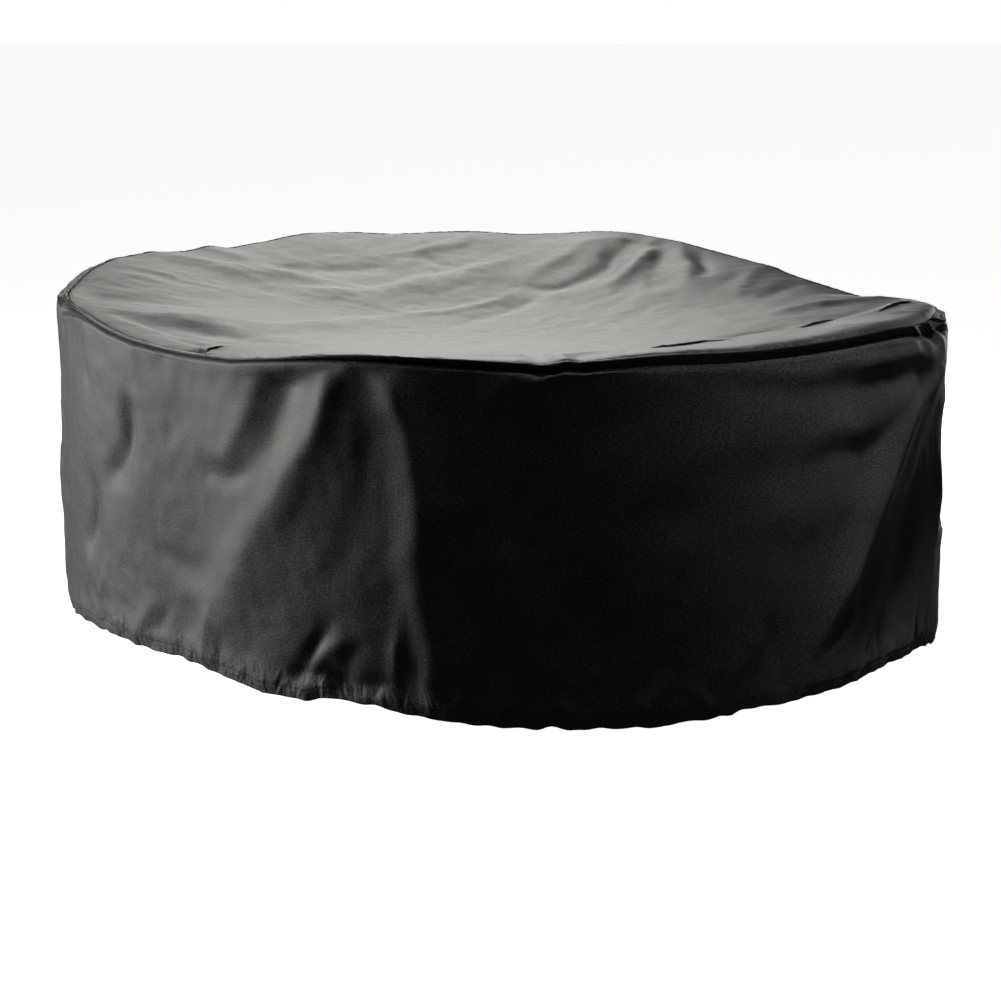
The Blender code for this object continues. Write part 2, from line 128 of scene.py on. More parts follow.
# A fold is a ridge where its rise is above zero and a trough where it is below. Left and right
# are its half widths on the two sides, as they look from outside for a fold drawn downwards. Its
# path runs through (angle, drop below the seam, share of the rise) on the skirt, and through
# (x, y, share of the rise) on the top.
Fold = namedtuple("Fold", "rise left right path")
SKIRT_FOLDS = [Fold(*row) for row in (
    # The long ridge of the front left and the pocket of slack cloth beside it.
    (0.012, 0.026, 0.024, ((250.2, 0.02, 0.5), (250.5, 0.05, 0.9), (250.4, 0.095, 1), (249.6, 0.135, 1),
        (248, 0.18, 0.8), (246.2, 0.235, 0.2))),
    (0.017, 0.066, 0.078, ((249.8, 0.09, 0.1), (248.4, 0.16, 0.5), (246, 0.215, 0.8), (243.8, 0.27, 1),
        (241.7, 0.325, 1), (238.8, 0.42, 0.95), (235.6, 0.535, 0.9), (232.4, 0.61, 0.8),
        (230.6, 0.7, 0.5))),
    (-0.019, 0.056, 0.054, ((246.8, 0.024, 0.6), (245.2, 0.062, 1), (243.8, 0.1, 1), (242.2, 0.15, 1),
        (241, 0.2, 0.8), (238.5, 0.25, 0.4), (236, 0.29, 0.1))),
    (-0.014, 0.13, 0.044, ((243.6, 0.014, 0.8), (242.4, 0.036, 1), (241.4, 0.058, 0.3))),
    (0.005, 0.014, 0.014, ((237, 0.066, 0.1), (239.5, 0.072, 1), (241, 0.094, 0.1))),
    (0.006, 0.05, 0.02, ((240, 0.085, 0.3), (237, 0.16, 1), (232, 0.235, 0.8), (227, 0.285, 0.1))),
    (-0.01, 0.03, 0.024, ((229, 0.244, 0.1), (232, 0.262, 0.9), (235.5, 0.268, 1), (239, 0.256, 0.3))),
    # Small ridge and dark hollow between the two long ridges.
    (0.005, 0.01, 0.009, ((251.8, 0.016, 0.6), (251.8, 0.053, 1), (251.2, 0.09, 0.2))),
    (-0.006, 0.034, 0.034, ((253, 0.025, 0.6), (254.3, 0.089, 1), (254.6, 0.181, 0.8), (254, 0.3, 0.5),
        (252, 0.45, 0.4), (249, 0.62, 0.2))),
    (0.018, 0.042, 0.05, ((256.7, 0.02, 0.3), (257.8, 0.083, 0.8), (258.9, 0.151, 0.9), (260, 0.265, 1),
        (260.8, 0.381, 1), (261, 0.474, 1), (261.2, 0.568, 1), (261.5, 0.685, 0.9), (261, 0.76, 0.5))),
    # Dimples and creases of the flat left side.
    (-0.005, 0.02, 0.014, ((197, 0.02, 0.2), (197, 0.06, 1), (197, 0.11, 0.1))),
    (-0.02, 0.034, 0.032, ((216.8, 0.13, 0.2), (216.5, 0.172, 0.7), (216, 0.222, 1), (215.4, 0.287, 1),
        (213.5, 0.34, 0.9), (210.8, 0.39, 0.3))),
    (-0.015, 0.03, 0.034, ((206.2, 0.395, 0.2), (206.8, 0.435, 0.8), (207, 0.48, 1), (206.4, 0.52, 1),
        (204.8, 0.56, 0.7), (202.6, 0.6, 0.1))),
    (-0.003, 0.022, 0.018, ((205, 0.135, 0.2), (206.5, 0.15, 1), (208, 0.162, 0.2))),
    (-0.006, 0.044, 0.03, ((220, 0.49, 0.1), (224.5, 0.518, 1), (229.5, 0.508, 0.8), (233, 0.48, 0.1))),
    (-0.004, 0.06, 0.04, ((220, 0.6, 0.2), (224, 0.64, 1), (228, 0.66, 0.3))),
    # The front, which hangs nearly smooth.
    (-0.012, 0.05, 0.05, ((273, 0.128, 0.2), (279, 0.146, 1), (287, 0.133, 0.3))),
    (-0.012, 0.06, 0.06, ((285, 0.36, 0.3), (289, 0.377, 1), (294, 0.372, 0.3))),
    (0.012, 0.05, 0.05, ((268, 0.3, 0.2), (270, 0.48, 1), (272, 0.66, 0.5))),
    (-0.009, 0.06, 0.06, ((280, 0.5, 0.2), (281, 0.62, 1), (283, 0.72, 0.3))),
    (0.01, 0.036, 0.03, ((301, 0.64, 0.2), (300.5, 0.7, 1), (299, 0.765, 0.8))),
    (-0.014, 0.026, 0.034, ((303, 0.62, 0.1), (304, 0.69, 1), (305.5, 0.78, 1), (307, 0.84, 0.6))),
    (-0.008, 0.028, 0.028, ((316.5, 0.6, 0.1), (315, 0.67, 1), (312.5, 0.74, 0.6))),
    # The long fold from the right-hand corner, with slack cloth in swags beside it.
    (0.024, 0.09, 0.05, ((345, 0.072, 0.4), (338.5, 0.128, 0.9), (332.6, 0.188, 1), (328, 0.25, 1),
        (323, 0.372, 1), (319.2, 0.48, 0.9), (316.5, 0.575, 0.8), (316.4, 0.655, 0.6),
        (318, 0.735, 0.2))),
    (0.009, 0.034, 0.034, ((318, 0.52, 0.2), (315, 0.6, 1), (311.5, 0.69, 1), (309, 0.77, 0.4))),
    (-0.006, 0.022, 0.028, ((341, 0.082, 0.3), (335, 0.104, 0.9), (325, 0.121, 1), (317, 0.119, 1),
        (307.5, 0.107, 0.9), (301, 0.097, 0.6), (294, 0.08, 0.1))),
    (0.007, 0.016, 0.022, ((337, 0.062, 0.3), (329, 0.063, 0.9), (318, 0.064, 1), (309, 0.062, 0.8),
        (300, 0.06, 0.2))),
    (0.01, 0.056, 0.044, ((327, 0.184, 0.3), (321, 0.199, 0.9), (313, 0.207, 1), (304, 0.206, 0.9),
        (296, 0.214, 0.4), (290, 0.224, 0.1))),
    (-0.005, 0.022, 0.026, ((338, 0.116, 0.3), (331.5, 0.15, 0.9), (326.5, 0.201, 1), (321.5, 0.247, 1),
        (315.5, 0.275, 0.9), (308, 0.292, 0.7), (300, 0.298, 0.6), (293, 0.3, 0.1))),
    (0.007, 0.05, 0.05, ((321, 0.384, 0.3), (314, 0.399, 1), (306, 0.39, 1), (298, 0.38, 0.3))),
    (-0.018, 0.06, 0.08, ((341, 0.204, 0.3), (337, 0.344, 1), (332.5, 0.46, 1), (328, 0.614, 1),
        (325, 0.734, 0.4))),
    (0.011, 0.08, 0.05, ((350, 0.2, 0.2), (345, 0.215, 1), (339, 0.225, 1), (334, 0.24, 0.4))),
    (0.012, 0.04, 0.05, ((345, 0.3, 0.2), (344, 0.46, 1), (341, 0.62, 0.8), (338, 0.76, 0.4))),
    # The right-hand side and the back.
    (-0.014, 0.07, 0.06, ((352, 0.12, 0.2), (352, 0.3, 1), (351, 0.5, 0.4))),
    (0.02, 0.05, 0.04, ((3, 0.05, 0.3), (6, 0.2, 1), (8, 0.42, 0.9), (7, 0.66, 0.5))),
    (0.028, 0.06, 0.045, ((13, 0.04, 0.3), (17, 0.12, 0.9), (22, 0.26, 1), (27, 0.48, 1),
        (29, 0.72, 0.6))),
    (-0.022, 0.05, 0.05, ((29, 0.06, 0.4), (33, 0.16, 1), (37, 0.34, 0.9), (40, 0.66, 0.5))),
    (0.012, 0.034, 0.03, ((44, 0.05, 0.4), (41, 0.14, 1), (36, 0.22, 0.6), (31, 0.26, 0.1))),
    (0.028, 0.048, 0.056, ((61, 0.04, 0.3), (59, 0.13, 0.9), (56, 0.28, 1), (50, 0.52, 0.9),
        (47, 0.72, 0.6))),
    (-0.018, 0.05, 0.05, ((66, 0.06, 0.4), (68, 0.2, 1), (66, 0.42, 0.6), (62, 0.62, 0.2))),
    (0.014, 0.04, 0.04, ((76, 0.04, 0.3), (75, 0.18, 1), (74, 0.4, 0.7), (75, 0.62, 0.3))),
    (-0.015, 0.06, 0.06, ((84, 0.06, 0.3), (86, 0.24, 1), (86, 0.46, 0.9), (84, 0.74, 0.5))),
    (0.022, 0.046, 0.052, ((105, 0.04, 0.3), (102, 0.14, 0.9), (98, 0.32, 1), (96, 0.66, 0.6))),
    (-0.015, 0.044, 0.04, ((112, 0.05, 0.3), (113, 0.18, 1), (110, 0.36, 0.8), (108, 0.58, 0.3))),
    (0.028, 0.056, 0.044, ((123, 0.04, 0.3), (126, 0.12, 0.9), (130, 0.24, 1), (137, 0.46, 1),
        (141, 0.72, 0.6))),
    (-0.02, 0.05, 0.05, ((138, 0.05, 0.4), (142, 0.14, 1), (147, 0.3, 1), (150, 0.56, 0.5))),
    (0.012, 0.03, 0.034, ((157, 0.04, 0.4), (153, 0.11, 1), (147, 0.17, 0.6), (142, 0.2, 0.1))),
    (0.014, 0.05, 0.05, ((160, 0.24, 0.3), (161, 0.42, 1), (160, 0.64, 0.5))),
    (0.022, 0.05, 0.044, ((171, 0.05, 0.3), (174, 0.18, 1), (178, 0.36, 1), (184, 0.6, 0.8),
        (186, 0.74, 0.5))),
    (-0.012, 0.036, 0.036, ((186, 0.08, 0.3), (189, 0.22, 1), (193, 0.4, 0.5), (195, 0.52, 0.1))),
)]
# Folds that rise from the gathered hem.
HEM_FOLDS = [Fold(*row) for row in (
    (0.0072, 0.022, 0.018, ((204, 0.575, 0.1), (204, 0.64, 1), (203.5, 0.7, 0.9))),
    (0.0054, 0.016, 0.014, ((210, 0.6, 0.1), (209, 0.65, 1), (208, 0.7, 0.9))),
    (0.006, 0.024, 0.02, ((219.4, 0.62, 0.1), (217.6, 0.687, 1), (216, 0.745, 0.9))),
    (-0.0045, 0.018, 0.022, ((223, 0.62, 0.1), (221.4, 0.68, 1), (220, 0.74, 0.9))),
    (0.0075, 0.026, 0.018, ((231.6, 0.6, 0.2), (230, 0.655, 1), (229.4, 0.73, 0.9))),
    (-0.0055, 0.018, 0.022, ((234.2, 0.64, 0.1), (233.2, 0.69, 1), (232.8, 0.75, 0.9))),
    (0.007, 0.026, 0.018, ((252.4, 0.64, 0.1), (249.6, 0.69, 1), (246.6, 0.745, 0.9))),
    (-0.011, 0.022, 0.024, ((250, 0.62, 0.1), (247.2, 0.68, 1), (245, 0.74, 0.9))),
    (-0.0072, 0.018, 0.018, ((253, 0.65, 0.1), (251.5, 0.71, 1), (250.5, 0.78, 0.9))),
    (0.0084, 0.02, 0.016, ((258.5, 0.6, 0.2), (257.5, 0.69, 1), (257, 0.78, 1))),
    (-0.021, 0.018, 0.034, ((245, 0.752, 0.3), (249, 0.768, 1), (254, 0.776, 1), (258.5, 0.786, 0.8),
        (261, 0.79, 0.2))),
    (-0.006, 0.014, 0.016, ((261, 0.66, 0.1), (260, 0.72, 1), (260, 0.79, 0.8))),
    (0.006, 0.022, 0.02, ((266, 0.62, 0.1), (265.5, 0.69, 1), (265, 0.78, 0.9))),
    (0.0042, 0.016, 0.014, ((272, 0.69, 0.1), (271, 0.74, 1), (270.5, 0.8, 0.8))),
    (0.0048, 0.016, 0.016, ((278, 0.7, 0.1), (278, 0.75, 1), (277.5, 0.81, 0.8))),
    (0.006, 0.018, 0.018, ((290, 0.72, 0.1), (289, 0.77, 1), (287, 0.82, 0.8))),
    (0.0072, 0.02, 0.014, ((293, 0.75, 0.2), (293.5, 0.8, 1), (296, 0.85, 0.9))),
    (0.0072, 0.018, 0.018, ((309, 0.7, 0.1), (309, 0.76, 1), (309, 0.82, 0.9))),
    (0.0072, 0.022, 0.02, ((322, 0.69, 0.1), (321, 0.75, 1), (320, 0.82, 0.9))),
    (-0.0084, 0.022, 0.018, ((326, 0.7, 0.1), (325, 0.77, 1), (325, 0.83, 0.9))),
    (0.0072, 0.02, 0.02, ((335, 0.68, 0.1), (334, 0.76, 1), (333, 0.83, 0.9))),
)]
# Short creases pinched into the cloth at both sides, which show as bumps of the outline.
SIDE_PINCHES = [Fold(*row) for row in (
    (0.009, 0.013, 0.01, ((188, 0.5, 0.2), (192, 0.515, 1), (197, 0.518, 0.1))),
    (-0.005, 0.012, 0.012, ((188, 0.48, 0.2), (192, 0.492, 1), (196, 0.498, 0.1))),
    (0.008, 0.012, 0.011, ((346, 0.585, 0.1), (351, 0.58, 1), (355, 0.568, 0.2))),
    (-0.005, 0.012, 0.012, ((346, 0.56, 0.1), (351, 0.556, 1), (355, 0.545, 0.2))),
)]
# Cloth caught in the seam at the front, and at the two corners.
RIM_TUCKS = [Fold(*row) for row in (
    (-0.007, 0.01, 0.008, ((272.6, -0.02, 0.8), (273.6, 0.012, 1), (275.2, 0.04, 0.4))),
    (0.007, 0.012, 0.012, ((275.2, -0.02, 0.8), (276.2, 0.01, 1), (278.2, 0.032, 0.5), (281, 0.04, 0.1))),
    (0.008, 0.007, 0.012, ((271.6, 0.05, 0.2), (273.2, 0.04, 1), (276, 0.03, 1), (280, 0.026, 0.8),
        (285, 0.025, 0.2))),
    (0.009, 0.012, 0.012, ((330.5, 0, 0.4), (332.5, 0.018, 1), (336, 0.044, 0.3))),
    (-0.018, 0.009, 0.009, ((333.5, -0.01, 0.8), (335.5, 0.016, 1), (338.5, 0.044, 0.3))),
    (0.014, 0.008, 0.01, ((336, -0.01, 0.8), (338.5, 0.016, 1), (341.5, 0.046, 0.3))),
    (-0.018, 0.009, 0.009, ((339, -0.01, 0.8), (341.5, 0.014, 1), (344.5, 0.04, 0.3))),
    (0.014, 0.009, 0.01, ((342, -0.01, 0.6), (344.8, 0.012, 1), (348, 0.036, 0.3))),
)]
TOP_FOLDS = [Fold(*row) for row in (
    # Stretched from the left-hand corner across the top.
    (0.015, 0.024, 0.11, ((-1.05, -0.39, 0.5), (-0.9, -0.41, 0.9), (-0.76, -0.36, 1), (-0.66, -0.3, 1),
        (-0.51, -0.11, 0.8), (-0.42, 0.03, 0.5), (-0.24, 0.24, 0.1))),
    (0.008, 0.06, 0.12, ((-0.72, -0.6, 0.3), (-0.58, -0.66, 1), (-0.44, -0.72, 1), (-0.3, -0.8, 0.3))),
    (-0.013, 0.06, 0.09, ((-0.98, -0.43, 0.5), (-0.88, -0.465, 0.8), (-0.72, -0.515, 1), (-0.6, -0.55, 1),
        (-0.46, -0.57, 1), (-0.32, -0.58, 0.4))),
    (-0.006, 0.034, 0.024, ((-0.95, -0.47, 0.4), (-0.88, -0.5, 0.9), (-0.82, -0.55, 1),
        (-0.74, -0.62, 0.8), (-0.64, -0.7, 0.3))),
    (0.006, 0.018, 0.018, ((-0.94, -0.5, 0.3), (-0.87, -0.56, 1), (-0.81, -0.63, 0.9),
        (-0.74, -0.73, 0.3))),
    (-0.006, 0.016, 0.016, ((-0.93, -0.5, 0.2), (-0.8, -0.64, 1), (-0.66, -0.78, 0.5))),
    (0.016, 0.034, 0.12, ((-1.01, 0.5, 0.3), (-0.88, 0.47, 0.9), (-0.75, 0.47, 1), (-0.63, 0.48, 1),
        (-0.5, 0.48, 0.6), (-0.37, 0.44, 0.1))),
    (0.013, 0.034, 0.12, ((-0.6, 0.33, 0.2), (-0.46, 0.38, 0.8), (-0.3, 0.49, 0.9), (-0.12, 0.66, 0.7),
        (0.05, 0.84, 0.2))),
    (-0.006, 0.05, 0.05, ((-0.8, 0.58, 0.2), (-0.66, 0.6, 1), (-0.5, 0.62, 1), (-0.34, 0.68, 0.5),
        (-0.22, 0.74, 0.1))),
    (-0.016, 0.07, 0.06, ((-1.08, -0.22, 0.4), (-1, -0.14, 1), (-0.88, -0.09, 0.7), (-0.74, -0.06, 0.1))),
    (0.006, 0.04, 0.03, ((-1.08, -0.02, 0.3), (-1.01, 0.14, 1), (-0.93, 0.15, 0.8), (-0.82, 0.12, 0.1))),
    (0.004, 0.03, 0.024, ((-1.05, 0.3, 0.3), (-0.95, 0.27, 1), (-0.82, 0.22, 0.6), (-0.7, 0.18, 0.1))),
    (0.006, 0.022, 0.02, ((-0.3, 0.2, 0.1), (-0.2, 0.24, 1), (-0.08, 0.36, 0.8), (0.06, 0.52, 0.2))),
    (-0.007, 0.04, 0.03, ((-0.14, 0.1, 0.1), (0, 0.3, 1), (0.14, 0.5, 0.3))),
    (0.006, 0.03, 0.03, ((-0.34, 0.8, 0.1), (-0.2, 0.92, 1), (-0.08, 1.05, 0.4))),
    (-0.006, 0.03, 0.03, ((-0.26, 0.96, 0.2), (-0.22, 0.84, 1), (-0.16, 0.7, 0.2))),
    # Troughs that meet at the far rim, right of the middle.
    (-0.014, 0.034, 0.04, ((0.05, 0.58, 0.2), (0.15, 0.54, 0.8), (0.23, 0.61, 1), (0.29, 0.74, 1),
        (0.37, 0.97, 0.7))),
    (0.006, 0.04, 0.04, ((0.02, 0.56, 0.2), (0.14, 0.78, 1), (0.26, 1, 0.6))),
    (0.01, 0.034, 0.034, ((0.24, 0.4, 0.1), (0.34, 0.62, 1), (0.42, 0.86, 0.6))),
    (-0.006, 0.03, 0.03, ((0.47, 0.98, 0.4), (0.46, 0.8, 1), (0.43, 0.56, 0.6), (0.42, 0.42, 0.1))),
    (-0.008, 0.026, 0.026, ((0.58, 0.9, 0.2), (0.57, 0.72, 1), (0.55, 0.56, 0.2))),
    (0.01, 0.04, 0.04, ((0.52, 0.92, 0.3), (0.52, 0.66, 1), (0.52, 0.44, 0.2))),
    (0.005, 0.036, 0.03, ((0.74, 0.72, 0.3), (0.68, 0.52, 1), (0.64, 0.34, 0.2))),
    (-0.005, 0.036, 0.03, ((0.84, 0.6, 0.3), (0.76, 0.4, 1), (0.68, 0.22, 0.3))),
    # Slack cloth on the right.
    (0.014, 0.05, 0.036, ((0.62, -0.02, 0.1), (0.78, 0.02, 0.9), (0.92, 0.06, 1), (1.04, 0.16, 0.3))),
    (-0.012, 0.05, 0.044, ((0.44, -0.5, 0.1), (0.62, -0.4, 1), (0.84, -0.24, 1), (1, -0.04, 0.4))),
    (0.007, 0.034, 0.04, ((0.42, -0.86, 0.2), (0.6, -0.72, 1), (0.78, -0.58, 0.6), (0.9, -0.44, 0.1))),
    (-0.006, 0.03, 0.03, ((-0.1, -1.04, 0.3), (0.02, -0.92, 1), (0.1, -0.78, 0.2))),
    (0.006, 0.026, 0.026, ((0.12, -1.08, 0.4), (0.17, -0.98, 1), (0.24, -0.86, 0.2))),
)]
# Sharp tucks of the top: cloth that has slipped over itself. The right side is the steep one.
TOP_TUCKS = [Fold(*row) for row in (
    (0.006, 0.045, 0.0032, ((-0.688, -0.885, 0.9), (-0.694, -0.83, 1), (-0.684, -0.775, 0.9),
        (-0.656, -0.745, 0.1))),
    (0.007, 0.05, 0.0032, ((0.335, -0.955, 0.3), (0.38, -0.84, 1), (0.43, -0.705, 1), (0.48, -0.64, 0.9),
        (0.55, -0.585, 0.2))),
    (0.007, 0.05, 0.0032, ((0.735, -0.44, 0.3), (0.77, -0.385, 1), (0.805, -0.325, 1),
        (0.84, -0.27, 0.2))),
    (0.008, 0.05, 0.0034, ((0.945, -0.29, 0.3), (0.975, -0.215, 1), (1.005, -0.14, 1), (1.035, -0.075, 1),
        (1.06, -0.02, 0.8), (1.07, 0.03, 0.2))),
)]
# Small folds that rise from the gathered hem all round and hang from the seam, seeded: their
# spacing, height, half width and rise each run from the first number to the second.
Gathers = namedtuple("Gathers", "seed spacing height half_width rise slant")
HEM_GATHERS = Gathers(11, (0.028, 0.080), (0.040, 0.130), (0.008, 0.017), (0.0014, 0.0048), 0.35)
SEAM_GATHERS = Gathers(23, (0.050, 0.150), (0.060, 0.170), (0.011, 0.024), (0.001, 0.0035), 0.30)
TOP_GATHERS = Gathers(37, (0.045, 0.120), (0.050, 0.160), (0.010, 0.020), (0.0008, 0.0024), 0.30)
RIDGE_SHARE = 0.68          # this share of them are ridges and the others are troughs,
TROUGH_RISE = -0.8          # which are this deep beside a ridge's rise
GATHER_WIDENING = 0.9       # they widen by this share of their width up to their end

# Soft random waves of the cloth, seeded: the shortest and the longest, the heading in degrees that
# they run across (0 is along the skirt, 90 is down it) and their spread round it in radians.
Waves = namedtuple("Waves", "seed shortest longest heading spread", defaults=(0, 1.2))
WAVE_COUNT = 56
SKIRT_SLACK = Waves(53, 0.13, 0.42, 8, 0.9)
SKIRT_FINE = Waves(59, 0.045, 0.12, 0, 1.4)
SKIRT_CREASES = Waves(61, 0.06, 0.16, 30, 1.6)
CREASE_DEPTH = 1.3          # how deep the skirt's creases are beside its fine waves
TOP_SLACK = Waves(83, 0.12, 0.40)
TOP_FINE = Waves(89, 0.045, 0.12)
TOP_CREASES = Waves(97, 0.05, 0.15)
TOP_SLACK_SHARE = 0.8       # the top is stretched a little flatter than the skirt
HEM_WAVES = Waves(5, 0.05, 0.22)
HEM_WAVE_HEIGHT = 0.0022    # the hem's own ups and downs
BAND_PUCKERS = Waves(101, 0.014, 0.045, 0, 0.5)
BAND_SWAY = Waves(103, 0.06, 0.30)
PUCKER_RISE = 0.00028       # the band's puckers are this high,
SWAY_RISE = 0.0003          # and it sways this far out and in,
SWAY_ASIDE = 0.0008         # and this far up and down along its lower edge
STRAY = 0.006               # folds stray about this far from their drawn lines,
STRAY_WAVES = (0.16, 0.50)  # in waves from the first length to the second,
UNEVEN_RISE = 0.14          # and their rise varies by this share
UNEVEN_WAVES = (0.20, 0.60)

CREST = 1.8                 # 2 gives a fold a bell's outline, and less a sharper crest
FOLD_REACH = 2.6            # a fold is worked out this many half widths to each side
SHARE_LIMIT = 1.2           # between two points its rise may reach this share at most
FOLD_START = 0.022          # folds of the skirt begin this far below the seam
FOLD_FADE = 0.040           # and have their full rise this much further down
GATHER_FADE = 0.012         # the gathers at the seam have theirs this far below the band,
RIM_TUCK_FADE = 0.006       # and the cloth caught in the seam over this distance,
RIM_TUCK_BEGUN = 0.2        # with this much of it begun at the band's edge
SAG_EDGE = 0.015            # the top's sag ends this far inside the seam,
TOP_FOLD_START = 0.008      # its folds end this far inside it,
TOP_FOLD_FADE = 0.070       # and have their full rise this much further in
TUCK_START = 0.006          # its tucks end this far inside the seam,
TUCK_FADE = 0.020           # and have theirs this much further in
ROLL_START = 0.005          # the roll beside the seam begins this far inside it
TOP_GATHER_START = 0.006    # the top's gathers stand on a line this far inside it,
TOP_GATHER_FADE = 0.020     # and fade towards it over this width
TUCK_REACH = 0.013          # the top's mesh is finer this near to a tuck,
FINE_START = 0.012          # and this far inside the seam,
TUCK_ROOM = 0.25            # and no tuck reaches further than this from its middle
TUCK_UNDER = 0.008          # how far the cloth slips in under a tuck's crest,
TUCK_UNDER_START = 0.010    # which it does this far inside the seam,
TUCK_FOOT = 0.006           # and is deepest this far before the crest
HEM_TUCK_HEIGHT = 0.036     # the gathered hem pulls in over this height
HEM_TUCK = 0.005            # by this much
HEM_LINE_DEPTH = 0.0009     # the sewing draws a line this deep and wide above the hem
HEM_LINE_WIDTH = 0.0025
PUCKER_HEIGHT = 0.100       # fine puckers of the cloth reach this far above the hem
TOP_EDGE_DROP = 0.0022      # the top's edge curls down to its seam by this,
TOP_EDGE_WIDTH = 0.009      # over this width

SKIRT_COLUMNS = 640
BAND_COLUMNS = 1440
HEM_DEPTH = 0.026           # the turned hem is sewn this far above the edge
HEM_EDGE = 0.0024           # half the thickness of the folded edge
# The rows of points round the folded edge and up its inner side: how far above the edge, how far
# inside the outer face, and how far past the edge on the flat cloth.
HEM_TURN = ((0.0007, 0.0008, 0.001), (0, HEM_EDGE, 0.003), (0.0008, 2 * HEM_EDGE - 0.0006, 0.005),
            (0.0060, 2 * HEM_EDGE, 0.011), (0.0150, 2 * HEM_EDGE, 0.019),
            (HEM_DEPTH, 2 * HEM_EDGE - 0.0004, 0.028))

# The lamps: where each stands, what it faces, its width and height, and the angle it shines into.
Lamp = namedtuple("Lamp", "name place target size spread")
LAMPS = [Lamp(*row) for row in (
    ("back_light", (-0.33, 5.2, 2.4), (-0.13, -0.3, 0), (2.0, 1.4), 29),
    ("left_light", (-5.7, 0, 0.9), (-0.6, -0.6, -0.3), (1.8, 3.2), 180),
    ("right_light", (-0.12, -3.25, 4.15), (1.08, -0.62, -0.42), (0.7, 0.7), 12),
    ("overhead_light", (0, -1.25, 3.2), (0, -1.14, 0), (1.8, 0.3), 60),
    ("low_light", (2.4, 5.2, -0.22), (0.6, 0.9, -0.34), (3.0, 0.44), 180),
)]
LAMP_COLOUR = "#fffef9"
CAMERA_SIDE = -0.006        # along X; it stands a little to the left of the middle


# ---------------------------------------------------------------- sizes and colours

def linear(code):
    """An sRGB colour such as "#1c1c1d" as linear red, green and blue."""
    channels = [int(code[start:start + 2], 16) / 255 for start in (1, 3, 5)]
    return [c / 12.92 if c <= 0.04045 else ((c + 0.055) / 1.055) ** 2.4 for c in channels]


def colour_property(name, code, description):
    """A colour that a user can change."""
    return bpy.props.FloatVectorProperty(
        name=name, description=description, subtype="COLOR", size=3, min=0, max=1, default=linear(code))


def length_property(name, default, description):
    """A length in metres that a user can change."""
    return bpy.props.FloatProperty(
        name=name, description=description, default=default, min=0, unit="LENGTH", precision=4)


def power_property(name, default, description):
    """The power of a lamp that a user can change."""
    return bpy.props.FloatProperty(name=name, description=description, default=default, min=0, unit="POWER")


class CoverSizes(bpy.types.PropertyGroup):
    """Sizes of the cover's cloth, seams and folds."""
    cloth: length_property("Cloth", 0.0015, "Thickness of the coated cloth")
    band: length_property("Band", 0.0022, "Thickness of the band over the seam")
    stitch_pitch: length_property("Stitch Pitch", 0.006, "From one stitch to the next")
    stitch_length: length_property("Stitch Length", 0.0042, "Length of the thread that shows")
    thread: length_property("Thread", 0.0009, "Diameter of the thread")
    slack: length_property("Slack", 0.0008, "Height of the soft unevenness of hanging cloth")
    crinkle: length_property("Crinkle", 0.0004, "Height of the fine crinkles left by packing")
    fold_share: bpy.props.FloatProperty(
        name="Folds", description="Share of the full depth of the main folds", default=1.0, min=0, max=2)


class CoverColours(bpy.types.PropertyGroup):
    """Colours of the cloth, its band and its thread."""
    cloth: colour_property("Cloth", "#101011", "Colour of the coated cloth")
    # Light grey for the cloth's flecks and mottle: painted sheen glints of the weave, plus dust where the
    # coating is rubbed.
    painted_sheen_and_dust: colour_property("Dust", "#4c4c4c", "Where the coating is rubbed or dusty")
    # The tape's dark colour: partly its own tone, partly painted shade for the dark line under the top's
    # edge.
    band: colour_property("Band", "#09090a", "Colour of the band over the seam")
    thread: colour_property("Thread", "#0f0f10", "Colour of the sewing thread")
    floor: colour_property("Floor", "#f4f4f4", "Colour of the floor")


class StudioSettings(bpy.types.PropertyGroup):
    """The camera and the strength of the lights."""
    lens: bpy.props.FloatProperty(
        name="Lens", description="Focal length", default=104.7, min=10, unit="CAMERA")
    camera_distance: length_property("Distance", 7.55, "From the cover's middle to the camera")
    camera_height: length_property("Height", 1.203, "Height of the camera above the origin")
    camera_tilt: bpy.props.FloatProperty(
        name="Tilt", description="How far the camera looks down", default=math.radians(12.315),
        subtype="ANGLE")
    back_light: power_property("Back Light", 6.2, "Soft light above and behind")
    left_light: power_property("Left Light", 430, "Soft light from the left")
    right_light: power_property("Right Light", 2.6, "Narrow light on the right-hand side")
    overhead_light: power_property("Overhead Light", 4.5, "Weak light above the front edge")
    low_light: power_property("Low Light", 110, "Low soft light on the back of the skirt")


# ---------------------------------------------------------------- the surface

def ease(value):
    """A smooth step from 0 to 1 while the value goes from 0 to 1."""
    value = np.clip(value, 0.0, 1.0)
    return value * value * (3 - 2 * value)


def quarter_round(share):
    """The rise of a quarter circle from 0 to 1 while the share goes from 0 to 1."""
    return np.sqrt(1 - (1 - share) ** 2)


def spline(before, start, end, after, share):
    """A place between start and end, by its share of the way, on a smooth curve through all four."""
    bend = 2 * before - 5 * start + 4 * end - after
    twist = 3 * (start - end) + after - before
    return start + 0.5 * share * (end - before + share * (bend + share * twist))


def around(column, angles):
    """One outline column at some angles, on a smooth closed curve through the rows."""
    values = np.array([getattr(row, column) for row in OUTLINE])
    place = np.mod(angles, 360) / OUTLINE_STEP
    row = np.floor(place).astype(int) % len(values)
    share = place - np.floor(place)
    return spline(*(values[(row + step) % len(values)] for step in (-1, 0, 1, 2)), share)


def between(rows, angles):
    """A value at some angles, eased from each row of angle and value to the next, right round."""
    places = np.array([row[0] for row in rows] + [rows[0][0] + 360])
    values = np.array([row[1] for row in rows] + [rows[0][1]])
    angles = np.mod(angles - places[0], 360) + places[0]
    row = np.clip(np.searchsorted(places, angles, side="right") - 1, 0, len(rows) - 1)
    share = ease((angles - places[row]) / (places[row + 1] - places[row]))
    return values[row] + share * (values[row + 1] - values[row])


def turned(angles, centre):
    """How far some angles lie from a centre angle, from -180 to 180."""
    return np.mod(angles - centre + 180, 360) - 180


